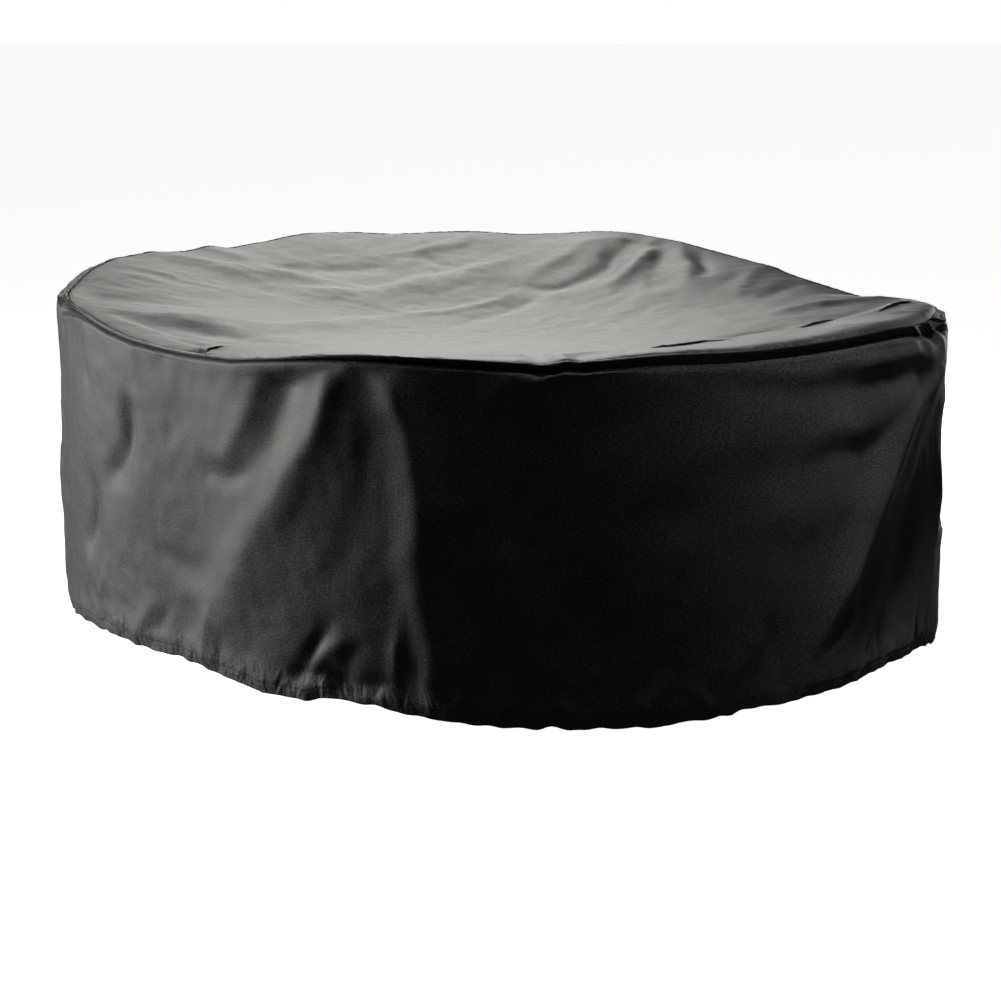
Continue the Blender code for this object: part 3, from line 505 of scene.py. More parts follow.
def seam_height(angles):
    """Height of the seam, with the small bumps of the rim."""
    bumps = (bump.rise * np.exp(-(turned(angles, bump.angle) / bump.half_width) ** 2) for bump in RIM_BUMPS)
    return RIM_HEIGHT + around("seam_rise", angles) + sum(bumps)


def outwards(angles):
    """The level direction away from the middle."""
    turn = np.radians(angles)
    return np.stack((np.cos(turn), np.sin(turn), np.zeros_like(turn)), axis=-1)


def scaled(vectors, lengths):
    """Each vector times its own length."""
    return vectors * np.asarray(lengths)[..., None]


UP = np.array((0.0, 0.0, 1.0))


def unevenness(waves, along, down):
    """A soft random surface of height about 1, a sum of seeded waves that closes round the skirt."""
    draws = np.random.default_rng(waves.seed)
    lengths = np.exp(draws.uniform(math.log(waves.shortest), math.log(waves.longest), WAVE_COUNT))
    headings = math.radians(waves.heading) + draws.normal(0, waves.spread, WAVE_COUNT)
    phases = draws.uniform(0, 2 * math.pi, WAVE_COUNT)
    total = np.zeros_like(along)
    for length, angle, phase in zip(lengths, headings, phases):
        turns = round(LOOP / length * math.cos(angle))
        total += np.cos(2 * math.pi * (turns * along / LOOP + math.sin(angle) * down / length) + phase)
    return total * math.sqrt(2 / WAVE_COUNT)


def straying(seeds, along, down):
    """How far folds stray both ways at some places, and what their rise is multiplied by there."""
    aside, ahead = (STRAY * unevenness(Waves(seed, *STRAY_WAVES), along, down) for seed in seeds[:2])
    return aside, ahead, 1 + UNEVEN_RISE * unevenness(Waves(seeds[2], *UNEVEN_WAVES), along, down)


def through(points, steps=5):
    """A smooth curve through a fold's points, as rows of place, place and share."""
    rows = np.array(points, float)
    padded = np.vstack((2 * rows[0] - rows[1], rows, 2 * rows[-1] - rows[-2]))
    curve = []
    for four in zip(padded, padded[1:], padded[2:], padded[3:]):
        curve += [spline(*four, step / steps) for step in range(steps)]
    curve.append(rows[-1])
    return np.array(curve)


def beside(path, along, down):
    """For places near a path: the nearest point of it, the side it is on, and the path's share."""
    gap = np.full(along.shape, np.inf)
    foot = np.zeros(along.shape + (2,))
    side = np.zeros(along.shape)
    share = np.zeros(along.shape)
    for start, end in zip(path, path[1:]):
        run = end[:2] - start[:2]
        part = ((along - start[0]) * run[0] + (down - start[1]) * run[1]) / run.dot(run)
        part = np.clip(part, 0, 1)
        near = start[:2] + scaled(run, part)
        off_along, off_down = along - near[..., 0], down - near[..., 1]
        distance = np.hypot(off_along, off_down)
        closer = distance < gap
        across = (off_along * run[1] - off_down * run[0]) / np.linalg.norm(run)
        gap = np.where(closer, distance, gap)
        side = np.where(closer, across / np.maximum(distance, 1e-9), side)
        share = np.where(closer, start[2] + part * (end[2] - start[2]), share)
        foot = np.where(closer[..., None], near, foot)
    return gap, side, share, foot


def fold_rise(folds, along, down, crest=CREST):
    """The summed rise of some folds; paths and places are in metres on the flat cloth."""
    total = np.zeros_like(along)
    for fold in folds:
        path = through(fold.path)
        reach = FOLD_REACH * max(fold.left, fold.right)
        near = (along > path[:, 0].min() - reach) & (along < path[:, 0].max() + reach)
        near &= (down > path[:, 1].min() - reach) & (down < path[:, 1].max() + reach)
        gap, side, share, _ = beside(path, along[near], down[near])
        width = (fold.left + fold.right) / 2 + side * (fold.right - fold.left) / 2
        total[near] += fold.rise * np.clip(share, 0, SHARE_LIMIT) * np.exp(-(gap / width) ** crest)
    return total


def skirt_fold_rise(folds, angles, drop):
    """The summed rise of folds of the skirt, each unrolled round its own first angle."""
    total = np.zeros_like(drop)
    for fold in folds:
        centre = fold.path[0][0]
        along = np.radians(turned(angles, centre)) * ARC_RADIUS
        path = [(math.radians(turned(angle, centre)) * ARC_RADIUS, depth, share)
                for angle, depth, share in fold.path]
        total += fold_rise([fold._replace(path=path)], along, drop)
    return total


def gather_rise(gathers, along, from_edge):
    """The summed rise of small folds that stand on an edge, at a place along it and off it."""
    draws = np.random.default_rng(gathers.seed)
    total = np.zeros_like(along)
    place = 0.0
    while place < LOOP - gathers.spacing[0]:
        height, half_width, rise = (draws.uniform(*pair) for pair in (
            gathers.height, gathers.half_width, gathers.rise))
        slant = draws.normal(0, gathers.slant)
        rise *= 1 if draws.uniform() < RIDGE_SHARE else TROUGH_RISE
        off = np.mod(along - place - slant * from_edge + LOOP / 2, LOOP) - LOOP / 2
        width = half_width * (1 + GATHER_WIDENING * from_edge / height)
        total += rise * np.exp(-np.abs(off / width) ** CREST) * (1 - ease(from_edge / height))
        place += draws.uniform(*gathers.spacing)
    return total


def band_place(angles, run, lift=0.0):
    """A place on the band's line: run metres below the seam, or above zero over the top's edge.

    The line goes straight down past the top's edge, and leans in or out from there. The place is
    lifted off it, towards the outside.
    """
    lean = np.radians(between(BAND_LEAN, angles))
    out = outwards(angles)
    over = np.minimum(run, 0)
    upright = np.clip(run, 0, CLOTH_GAP)
    leaning = np.maximum(run - CLOTH_GAP, 0)
    along_lean = scaled(out, np.sin(lean)) - scaled(UP, np.cos(lean))
    face = scaled(out, np.cos(lean)) + scaled(UP, np.sin(lean))
    upwards = np.clip(0.5 - run / BAND_BEND, 0, 1)
    face = scaled(face, 1 - upwards) + scaled(UP, upwards)
    face /= np.linalg.norm(face, axis=-1, keepdims=True)
    place = scaled(out, around("seam_radius", angles) + over) + scaled(along_lean, leaning)
    place[..., 2] += seam_height(angles) - upright
    return place + scaled(face, lift)


def band_drop(angles):
    """How far the band's lower edge lies below the seam."""
    return seam_height(angles) - band_place(angles, BAND_WIDTH)[..., 2]


def skirt_length(angles):
    """From the seam straight down to the hem."""
    return seam_height(angles) - RIM_HEIGHT + around("hem_drop", angles) + hem_waves(angles)


def hem_waves(angles):
    """The hem's own small ups and downs."""
    along = np.radians(angles) * ARC_RADIUS
    return HEM_WAVE_HEIGHT * unevenness(HEM_WAVES, along, 0)


def skirt_place(angles, down, sizes, inside=0.0):
    """A place on the skirt's outer face, measured down the cloth from the seam."""
    drop = np.where(down < BAND_WIDTH, down, band_drop(angles) + down - BAND_WIDTH)
    length = skirt_length(angles)
    from_hem = length - drop
    along = np.radians(angles) * ARC_RADIUS
    lower = band_place(angles, BAND_WIDTH)
    start = np.hypot(lower[..., 0], lower[..., 1])
    belly, hem = around("belly_radius", angles), around("hem_radius", angles)
    top = band_drop(angles)
    under = np.clip(-between(BAND_LEAN, angles) / TIGHT_LEAN, 0, 1)
    shoulder = (1 - under) * np.maximum(SHOULDER - top, SHORT_SHOULDER) + under * TIGHT_SHOULDER
    reached = np.clip((drop - top) / shoulder, 0, 1)
    radius = start + (belly - start) * ((1 - under) * ease(reached) + under * quarter_round(reached))
    radius = radius + (hem - belly) * ease((drop - SHOULDER) / (length - SHOULDER))
    begun = ease((drop - FOLD_START) / FOLD_FADE)
    aside, ahead, strength = straying((41, 43, 47), along, drop)
    bent_angles, bent_drop = angles + np.degrees(aside / ARC_RADIUS), drop + ahead
    folds = skirt_fold_rise(SKIRT_FOLDS, bent_angles, bent_drop) * strength
    folds += skirt_fold_rise(HEM_FOLDS, bent_angles, bent_drop)
    folds += skirt_fold_rise(SIDE_PINCHES, angles, drop)
    slack, fine, creases = (
        unevenness(waves, along, drop) for waves in (SKIRT_SLACK, SKIRT_FINE, SKIRT_CREASES))
    loose = sizes.slack * slack + sizes.crinkle * (fine - CREASE_DEPTH * np.abs(creases))
    radius = radius + begun * (sizes.fold_share * folds + loose)
    radius += gather_rise(HEM_GATHERS, along, np.maximum(from_hem, 0)) * begun
    gathers = gather_rise(SEAM_GATHERS, along, np.maximum(drop - top, 0))
    radius += gathers * ease((drop - top) / GATHER_FADE)
    tucks = skirt_fold_rise(RIM_TUCKS, angles, drop)
    radius += tucks * ease((drop - top) / RIM_TUCK_FADE + RIM_TUCK_BEGUN)
    radius -= HEM_TUCK * ease(1 - from_hem / HEM_TUCK_HEIGHT)
    radius -= HEM_LINE_DEPTH * np.exp(-((from_hem - HEM_DEPTH) / HEM_LINE_WIDTH) ** 2)
    place = scaled(outwards(angles), radius - inside)
    place[..., 2] = seam_height(angles) - drop
    upper = band_place(angles, np.minimum(down, BAND_WIDTH))
    return np.where((down < BAND_WIDTH)[..., None], upper, place)


def top_place(x, y, sizes):
    """The height of the top's upper face at some places, from its middle to its seam."""
    angles = np.degrees(np.arctan2(y, x))
    seam_radius = around("seam_radius", angles)
    from_seam = seam_radius - np.hypot(x, y)
    reach = np.clip(np.hypot(x, y) / (seam_radius - SAG_EDGE), 0, 1)
    height = RIM_HEIGHT - TOP_SAG * (1 - reach ** 2) ** 2
    height += (seam_height(angles) - RIM_HEIGHT) * reach ** 3
    aside, ahead, strength = straying((71, 73, 79), x, y)
    rise = sizes.fold_share * fold_rise(TOP_FOLDS, x + aside, y + ahead) * strength
    rise += TOP_SLACK_SHARE * sizes.slack * unevenness(TOP_SLACK, x, y)
    rise += sizes.crinkle * unevenness(TOP_FINE, x, y)
    rise -= sizes.crinkle * np.abs(unevenness(TOP_CREASES, x, y))
    height += rise * ease((from_seam - TOP_FOLD_START) / TOP_FOLD_FADE)
    tucks = fold_rise(TOP_TUCKS, x, y, crest=2)
    height += sizes.fold_share * tucks * ease((from_seam - TUCK_START) / TUCK_FADE)
    rolled = np.clip((from_seam - ROLL_START) / ROLL_WIDTH, 0, 1)
    roll = between(TOP_ROLL, angles) * quarter_round(rolled)
    height += roll * (1 - ease((from_seam - ROLL_LEVEL) / ROLL_FALL))
    along = np.radians(angles) * ARC_RADIUS
    gathers = gather_rise(TOP_GATHERS, along, np.maximum(from_seam - TOP_GATHER_START, 0))
    return height + gathers * ease(from_seam / TOP_GATHER_FADE)


# ---------------------------------------------------------------- meshes

def add_mesh(name, points, faces, uvs):
    """A mesh object of points and faces, with the cloth's flat coordinates in metres."""
    mesh = bpy.data.meshes.new(name)
    mesh.from_pydata(points.tolist(), [], faces)
    layer = mesh.uv_layers.new(name="FlatCloth")
    layer.data.foreach_set("uv", np.array(uvs, np.float32).ravel())
    mesh.validate()
    piece = bpy.data.objects.new(name, mesh)
    bpy.context.scene.collection.objects.link(piece)
    return piece


def select_only(piece):
    """Make one object the active and only selected one."""
    bpy.ops.object.select_all(action="DESELECT")
    piece.select_set(True)
    bpy.context.view_layer.objects.active = piece


def face_outwards(piece):
    """Turn all faces of a closed piece outwards, and smooth it."""
    select_only(piece)
    bpy.ops.object.mode_set(mode="EDIT")
    bpy.ops.mesh.select_all(action="SELECT")
    bpy.ops.mesh.normals_make_consistent(inside=False)
    bpy.ops.object.mode_set(mode="OBJECT")
    bpy.ops.object.shade_smooth_by_angle(angle=math.radians(70))


def thicken(piece, thickness):
    """Give a sheet its thickness on its inner side and smooth it."""
    select_only(piece)
    solid = piece.modifiers.new("Thickness", "SOLIDIFY")
    solid.thickness = thickness
    solid.offset = -1
    solid.use_even_offset = False
    bpy.ops.object.modifier_apply(modifier=solid.name)
    bpy.ops.object.shade_smooth_by_angle(angle=math.radians(60))


def ring_faces(rows, columns, closed_rows=False):
    """Quads between rows of points round a ring, and the flat place of each of their corners."""
    faces, corners = [], []
    for row in range(rows if closed_rows else rows - 1):
        below = (row + 1) % rows
        for column in range(columns):
            after = (column + 1) % columns
            faces.append((row * columns + column, below * columns + column,
                          below * columns + after, row * columns + after))
            corners.extend(((row, column), (row + 1, column), (row + 1, column + 1), (row, column + 1)))
    return faces, np.array(corners)


def skirt_rows():
    """Where the skirt's rows lie: near the seam, down the middle (as shares), and above the hem."""
    seam_rows = (CLOTH_GAP, 0.008, 0.013, 0.018, 0.0235, 0.026, 0.030, 0.035, 0.041, 0.048, 0.056)
    middle_rows = np.linspace(0, 1, 33)[1:-1]
    hem_rows = np.concatenate((np.linspace(0.200, 0.032, 18), (
        HEM_DEPTH + 0.0028, HEM_DEPTH, HEM_DEPTH - 0.0028, 0.017, 0.011, 0.006, 0.0025)))
    return seam_rows, middle_rows, hem_rows


def make_skirt_mesh(sizes):
    """The skirt's sheet, from its upper edge under the band down to the turned hem."""
    angles = np.arange(SKIRT_COLUMNS) * 360 / SKIRT_COLUMNS
    total = BAND_WIDTH + skirt_length(angles) - band_drop(angles)
    seam_rows, middle_rows, hem_rows = skirt_rows()
    downs = [np.full_like(angles, row) for row in seam_rows]
    first, last = seam_rows[-1], hem_rows[0]
    downs += [first + (total - last - first) * share for share in middle_rows]
    downs += [total - row for row in hem_rows]
    down = np.array(downs)
    points = skirt_place(np.broadcast_to(angles, down.shape), down, sizes)
    turn = [skirt_place(angles, total - above, sizes, inside=inside) for above, inside, _ in HEM_TURN]
    points = np.concatenate((points, turn))
    flat_down = np.concatenate((down, [total + past for *_, past in HEM_TURN]))
    faces, corners = ring_faces(len(points), SKIRT_COLUMNS)
    uvs = np.stack((corners[:, 1] * LOOP / SKIRT_COLUMNS,
                    -flat_down[corners[:, 0], corners[:, 1] % SKIRT_COLUMNS]), axis=-1)
    piece = add_mesh("skirt_cloth", points.reshape(-1, 3), faces, uvs)
    gathered = piece.data.attributes.new("gathered", "FLOAT", "POINT")
    gathered.data.foreach_set("value", ease(1 - (total - flat_down) / PUCKER_HEIGHT).ravel())
    return piece


def top_rings():
    """The top's rings from the middle out: radius as a share, and how many columns each has."""
    zones = ((90, 0.012, 0.12, 9), (180, 0.132, 0.245, 9), (360, 0.257, 0.690, 34), (720, 0.701, 0.985, 26))
    rings = [(share, columns) for columns, *zone in zones for share in np.linspace(*zone)]
    return rings + [(share, 720) for share in (0.9890, 0.9925, 0.9955, 0.9980, 1)]


def beside_tuck(tuck, x, y):
    """The places near one sharp tuck, and what beside gives for them."""
    path = through(tuck.path)
    near = (np.abs(x - path[:, 0].mean()) < TUCK_ROOM) & (np.abs(y - path[:, 1].mean()) < TUCK_ROOM)
    return (near, *beside(path, x[near], y[near]))


def from_seam_at(x, y):
    """How far some places of the top lie inside the seam."""
    return around("seam_radius", np.degrees(np.arctan2(y, x))) - np.hypot(x, y)


def refine_at_tucks(piece):
    """Divide the faces near the sharp tucks."""
    select_only(piece)
    centres = np.empty(3 * len(piece.data.polygons))
    piece.data.polygons.foreach_get("center", centres)
    x, y, _ = centres.reshape(-1, 3).T
    chosen = np.zeros(len(x), bool)
    for tuck in TOP_TUCKS:
        near, gap, *_ = beside_tuck(tuck, x, y)
        chosen[near] |= gap < TUCK_REACH
    chosen &= from_seam_at(x, y) > FINE_START
    bpy.ops.object.mode_set(mode="EDIT")
    bpy.ops.mesh.select_mode(type="FACE")
    bpy.ops.mesh.select_all(action="DESELECT")
    bpy.ops.object.mode_set(mode="OBJECT")
    piece.data.polygons.foreach_set("select", chosen)
    bpy.ops.object.mode_set(mode="EDIT")
    bpy.ops.mesh.subdivide(number_cuts=5)
    bpy.ops.object.mode_set(mode="OBJECT")


def tucked_under(x, y):
    """Draw the cloth at the foot of each sharp tuck in under its crest, so that it laps over itself."""
    x, y = x.copy(), y.copy()
    fade = ease((from_seam_at(x, y) - TUCK_UNDER_START) / TUCK_FADE)
    for tuck in TOP_TUCKS:
        near, gap, side, share, foot = beside_tuck(tuck, x, y)
        under = TUCK_UNDER * np.exp(-((gap - TUCK_FOOT) / (TUCK_FOOT / 2)) ** 2)
        under *= (side > 0) * share * fade[near]
        x[near] -= (x[near] - foot[..., 0]) / np.maximum(gap, 1e-6) * under
        y[near] -= (y[near] - foot[..., 1]) / np.maximum(gap, 1e-6) * under
    return x, y


def make_top_mesh(sizes):
    """The round top: rings whose columns double as they widen, and a rolled outer edge."""
    x, y, starts = [0.0], [0.0], []
    for share, columns in top_rings():
        angles = np.arange(columns) * 360 / columns
        radius = around("seam_radius", angles) * share
        starts.append(len(x))
        x.extend(radius * np.cos(np.radians(angles)))
        y.extend(radius * np.sin(np.radians(angles)))
    points = np.stack((x, y, np.zeros_like(x)), axis=-1)
    counts = [columns for _, columns in top_rings()]
    faces = [(0, starts[0] + here, starts[0] + (here + 1) % counts[0]) for here in range(counts[0])]
    for inner, outer, fewer, more in zip(starts, starts[1:], counts, counts[1:]):
        for here in range(fewer):
            after = (here + 1) % fewer
            if fewer == more:
                faces.append((inner + here, outer + here, outer + after, inner + after))
            else:
                double = 2 * here
                faces += ((inner + here, outer + double, outer + double + 1),
                          (inner + here, outer + double + 1, outer + (double + 2) % more, inner + after))
    uvs = [points[corner, :2] for face in faces for corner in face]
    piece = add_mesh("top_cloth", points, faces, uvs)
    refine_at_tucks(piece)
    flat = np.empty(3 * len(piece.data.vertices))
    piece.data.vertices.foreach_get("co", flat)
    x, y, _ = flat.reshape(-1, 3).T
    height = top_place(x, y, sizes)
    height -= TOP_EDGE_DROP * np.clip(1 - from_seam_at(x, y) / TOP_EDGE_WIDTH, 0, 1) ** 2
    x, y = tucked_under(x, y)
    piece.data.vertices.foreach_set("co", np.stack((x, y, height), axis=-1).ravel())
    piece.data.update()
    return piece


# The band's cross-section: run down from the seam (above it below zero) and lift off the cloth.
BAND_EDGE = 0.0246          # its lower edge
BAND_GROOVES = (0.0030, 0.0092, 0.0154, 0.0216)     # the rows of stitches lie in these,
GROOVE_HALF = 0.0011        # which are twice this wide
GROOVE_DEPTH = 0.0011
BAND_THREAD_LIFT = 0.0003   # and the thread lies this far above their floor
BAND_FACE = 0.0022          # the puckers of its sewing are full at this lift
SWAY_START = 0.003          # and its lower edge sways from here down
BAND_TUCK_START = -0.004    # it follows the cloth caught in the seam from here down,
BAND_TUCK_FADE = 0.006      # over this distance,
BAND_TUCK_SHARE = 0.75      # by this share


def band_section(thickness):
    """The band's closed outline: over the top's edge, down the outside, and back up inside."""
    outer_runs = np.linspace(-0.0036, BAND_EDGE - 0.0006, 27)
    section = [(-0.0046, 0.0004), (-0.0044, 0.6 * thickness)]
    for run in outer_runs:
        dip = sum(math.exp(-((run - groove) / GROOVE_HALF) ** 2) for groove in BAND_GROOVES)
        section.append((run, thickness - GROOVE_DEPTH * dip))
    section += [(BAND_EDGE, 0.5 * thickness), (BAND_EDGE - 0.0002, 0.0003)]
    section += [(run, 0.0003) for run in (0.018, 0.012, 0.006, 0.0015)]
    return section + [(-0.0020, 0.0003)]


def band_points(angles, run, lift):
    """Places on the band, with the small puckers that its sewing leaves."""
    along = np.radians(angles) * ARC_RADIUS
    run = np.full_like(angles, run)
    pucker, sway = unevenness(BAND_PUCKERS, along, run), unevenness(BAND_SWAY, along, 0)
    shown = np.clip(lift / BAND_FACE, 0, 1)
    lift = lift + shown * (PUCKER_RISE * pucker + SWAY_RISE * sway)
    run = run + np.clip((run - SWAY_START) / BAND_WIDTH, 0, 1) * SWAY_ASIDE * sway
    tucks = skirt_fold_rise(RIM_TUCKS, angles, run)
    tucks *= np.clip((run - BAND_TUCK_START) / BAND_TUCK_FADE, 0, 1)
    return band_place(angles, run, lift) + scaled(outwards(angles), tucks * BAND_TUCK_SHARE)


def make_band_mesh(sizes):
    """The band over the seam, a closed ring with four sewn grooves."""
    angles = np.arange(BAND_COLUMNS) * 360 / BAND_COLUMNS
    section = band_section(sizes.band)
    points = np.array([band_points(angles, run, lift) for run, lift in section])
    faces, corners = ring_faces(len(section), BAND_COLUMNS, closed_rows=True)
    lengths = [0.0]
    for here, after in zip(section, section[1:] + section[:1]):
        lengths.append(lengths[-1] + math.dist(here, after))
    uvs = np.stack((corners[:, 1] * LOOP / BAND_COLUMNS, -np.array(lengths)[corners[:, 0]]), axis=-1)
    piece = add_mesh("rim_band", points.reshape(-1, 3), faces, uvs)
    face_outwards(piece)
    return piece


STITCH_STRAIGHT = 0.55      # the straight part of a stitch, as a share of its length
STITCH_DIP = 0.45           # how far its ends dip, as a share of the thread's thickness
ROW_OFFSET = 0.37           # each row starts this share of a stitch after the row above it
STEP_DOWN = 0.002           # a step down the cloth, by which its slope is found
HEM_PITCH = 0.008           # from one stitch of the hem to the next
HEM_THREAD_LIFT = 0.0002    # the hem's thread lies this far above the cloth


def model_stitch(sizes):
    """One stitch of thread: a short round bar, pinched in at both ends where it enters the cloth."""
    bpy.ops.object.select_all(action="DESELECT")
    bpy.ops.mesh.primitive_cylinder_add(
        vertices=6, radius=sizes.thread / 2, depth=STITCH_STRAIGHT * sizes.stitch_length,
        end_fill_type="TRIFAN", rotation=(0, math.pi / 2, 0))
    stitch = bpy.context.active_object
    bpy.ops.object.transform_apply(location=True, rotation=True, scale=True)
    for vertex in stitch.data.vertices:
        if abs(vertex.co.y) < 1e-6 and abs(vertex.co.z) < 1e-6:
            vertex.co.x = math.copysign(sizes.stitch_length / 2, vertex.co.x)
            vertex.co.z = -sizes.thread * STITCH_DIP
    return stitch


def sew(name, rows, place, sizes, pitch):
    """A piece of thread: one stitch copied along rows that run round the cover.

    A row is (run, lift), and place gives the points of a run at some angles.
    """
    stitch = model_stitch(sizes)
    shape = np.array([vertex.co for vertex in stitch.data.vertices])
    shape_faces = [tuple(face.vertices) for face in stitch.data.polygons]
    bpy.data.objects.remove(stitch)
    points, faces = [], []
    half = np.degrees(sizes.stitch_length / 2 / ARC_RADIUS)
    for number, (run, lift) in enumerate(rows):
        count = round(LOOP / pitch)
        angles = (np.arange(count) + ROW_OFFSET * number) * 360 / count
        back, middle, ahead = (place(angles + side * half, run, lift) for side in (-1, 0, 1))
        lower = place(angles, run + STEP_DOWN, lift)
        forward = ahead - back
        forward /= np.linalg.norm(forward, axis=-1, keepdims=True)
        downward = lower - middle
        normal = np.cross(downward, forward)
        normal /= np.linalg.norm(normal, axis=-1, keepdims=True)
        across = np.cross(normal, forward)
        for spot in range(count):
            first = len(points) * len(shape)
            turn = np.array((forward[spot], across[spot], normal[spot]))
            points.append(shape @ turn + middle[spot])
            faces.extend(tuple(first + corner for corner in face) for face in shape_faces)
    mesh = bpy.data.meshes.new(name)
    mesh.from_pydata(np.concatenate(points).tolist(), [], faces)
    piece = bpy.data.objects.new(name, mesh)
    bpy.context.scene.collection.objects.link(piece)
    face_outwards(piece)
    return piece


# ---------------------------------------------------------------- materials

def new_material(name):
    """A material without nodes, and its node tree."""
    material = bpy.data.materials.new(name)
    material.use_nodes = True
    material.node_tree.nodes.clear()
    return material, material.node_tree


def add_shader(tree, inputs):
    """The shader with its inputs, and the material's output."""
    shader = add_node(tree, "ShaderNodeBsdfPrincipled", inputs)
    add_node(tree, "ShaderNodeOutputMaterial", {"Surface": shader})


def add_node(tree, kind, inputs=None, **settings):
    """One node with its settings. An input is a value, an output, or a node whose first output feeds it."""
    node = tree.nodes.new(kind)
    for name, value in settings.items():
        setattr(node, name, value)
    for socket, value in (inputs or {}).items():
        if isinstance(value, bpy.types.Node):
            value = next(output for output in value.outputs if output.enabled)
        if isinstance(value, bpy.types.NodeSocket):
            tree.links.new(value, node.inputs[socket])
        else:
            node.inputs[socket].default_value = value
    return node


THREAD_SPACING = 0.0032     # yarns are 0.5 mm apart; drawn coarser, because that is too fine to show
GRAIN = 0.0040              # flecks of the yarn, drawn coarser for the same reason
TOP_GRAIN = 0.0070          # and coarser again on the top, which is seen at a low angle
RIB_SPACING = 0.0015        # ribs of the tape, also 0.5 mm apart on the real one
WAVE_STEP = 0.314           # a wave texture of scale 1 has its bands this far apart


def coated_oxford_cloth(name, colours, grain, gathered=False):
    """Oxford polyester with a polyurethane coating. A gathered piece has puckers near its hem.

    The coating is smooth enough for a soft sheen at a low angle. The weave's glints of sheen are
    painted into the colour as light grey flecks along the weft (painted highlight), mixed with a soft cloud
    of dust; the flecks also bump the surface.
    """
    material, tree = new_material(name)
    flat = add_node(tree, "ShaderNodeUVMap", uv_map="FlatCloth")
    warp, weft = (add_node(tree, "ShaderNodeTexWave", {
        "Vector": flat, "Scale": WAVE_STEP / THREAD_SPACING, "Distortion": 1.2, "Detail": 1.0,
        "Detail Scale": 1.5}, bands_direction=direction).outputs["Fac"] for direction in "XY")
    weave = add_node(tree, "ShaderNodeMath", {0: warp, 1: weft}, operation="MULTIPLY")
    streaked = add_node(tree, "ShaderNodeMapping", {"Vector": flat, "Scale": (0.5, 1, 1)})
    fleck = add_node(tree, "ShaderNodeTexNoise", {
        "Vector": streaked, "Scale": 1 / grain, "Detail": 3.0, "Roughness": 0.65})
    cloud = add_node(tree, "ShaderNodeTexNoise", {
        "Vector": flat, "Scale": 7.0, "Detail": 4.0, "Roughness": 0.55})
    crumple = add_node(tree, "ShaderNodeTexNoise", {
        "Vector": flat, "Scale": 38.0, "Detail": 3.0, "Roughness": 0.5, "Distortion": 0.6})
    # Painted highlight: light grey flecks that stand in for glints of sheen on the weave.
    painted_sheen_share = add_node(tree, "ShaderNodeMapRange", {
        "Value": fleck, "From Min": 0.44, "From Max": 0.66, "To Max": 0.95})
    cloud_share = add_node(tree, "ShaderNodeMapRange", {
        "Value": cloud, "From Min": 0.30, "From Max": 0.72, "To Max": 0.20})
    # The painted sheen flecks and a soft cloud of dust together set how far the colour turns light grey,
    # and how rough it is.
    painted_sheen_and_dust_share = add_node(tree, "ShaderNodeMath", {0: painted_sheen_share, 1: cloud_share}, operation="ADD")
    colour = add_node(tree, "ShaderNodeMix", {
        "Factor": painted_sheen_and_dust_share, "A": (*colours.cloth, 1), "B": (*colours.painted_sheen_and_dust, 1)}, data_type="RGBA")
    roughness = add_node(tree, "ShaderNodeMapRange", {"Value": painted_sheen_and_dust_share, "To Min": 0.56, "To Max": 0.68})
    bump = hem_puckers(tree, flat) if gathered else None
    for height, strength, depth in ((crumple, 0.22, 0.0018), (fleck, 0.3 * grain / GRAIN, 0.0012),
                                    (weave, 0.35, 0.0006)):
        under = {"Normal": bump} if bump else {}
        bump = add_node(tree, "ShaderNodeBump", {
            "Height": height, "Strength": strength, "Distance": depth, **under})
    add_shader(tree, {"Base Color": colour, "Roughness": roughness, "Normal": bump, "IOR": 1.5,
                      "Sheen Weight": 0.10, "Sheen Roughness": 0.45})
    return material


def hem_puckers(tree, flat):
    """The fine puckers that stand on a gathered hem, 20 to 40 mm apart."""
    drawn = add_node(tree, "ShaderNodeMapping", {"Vector": flat, "Scale": (24, 11, 1)})
    pucker = add_node(tree, "ShaderNodeTexNoise", {
        "Vector": drawn, "Scale": 1.0, "Detail": 2.0, "Roughness": 0.45, "Distortion": 1.2})
    share = add_node(tree, "ShaderNodeAttribute", attribute_name="gathered").outputs["Fac"]
    height = add_node(tree, "ShaderNodeMath", {0: pucker, 1: share}, operation="MULTIPLY")
    return add_node(tree, "ShaderNodeBump", {"Height": height, "Strength": 1.0, "Distance": 0.011})


def ribbed_tape(name, colours):
    """Woven polyester tape with a coated face: fine ribs run across it, and it is darker than the cloth,
    partly its own tone and partly painted shade that darkens the line under the top's edge.
    """
    material, tree = new_material(name)
    flat = add_node(tree, "ShaderNodeUVMap", uv_map="FlatCloth")
    ribs = add_node(tree, "ShaderNodeTexWave", {
        "Vector": flat, "Scale": WAVE_STEP / RIB_SPACING, "Distortion": 0.8}, bands_direction="X")
    cloud = add_node(tree, "ShaderNodeTexNoise", {"Vector": flat, "Scale": 60.0, "Detail": 3.0})
    # The tape's colour, darkened partly as painted shade, mottled towards the cloth's colour.
    colour = add_node(tree, "ShaderNodeMix", {
        "Factor": cloud, "A": (*colours.band, 1), "B": (*colours.cloth, 1)}, data_type="RGBA")
    bump = add_node(tree, "ShaderNodeBump", {
        "Height": ribs.outputs["Fac"], "Strength": 0.3, "Distance": 0.0004})
    roughness = add_node(tree, "ShaderNodeMapRange", {
        "Value": cloud, "From Min": 0.3, "From Max": 0.7, "To Min": 0.42, "To Max": 0.56})
    add_shader(tree, {"Base Color": colour, "Roughness": roughness, "Normal": bump})
    return material


def bonded_thread(name, colours):
    """Bonded polyester thread: smooth and a little shiny, with its twist seen as light flecks."""
    material, tree = new_material(name)
    where = add_node(tree, "ShaderNodeTexCoord").outputs["Object"]
    twist = add_node(tree, "ShaderNodeTexNoise", {"Vector": where, "Scale": 900.0, "Detail": 1.0})
    colour = add_node(tree, "ShaderNodeMix", {
        "Factor": twist, "A": (*colours.thread, 1), "B": (*colours.cloth, 1)}, data_type="RGBA")
    add_shader(tree, {"Base Color": colour, "Roughness": 0.45})
    return material


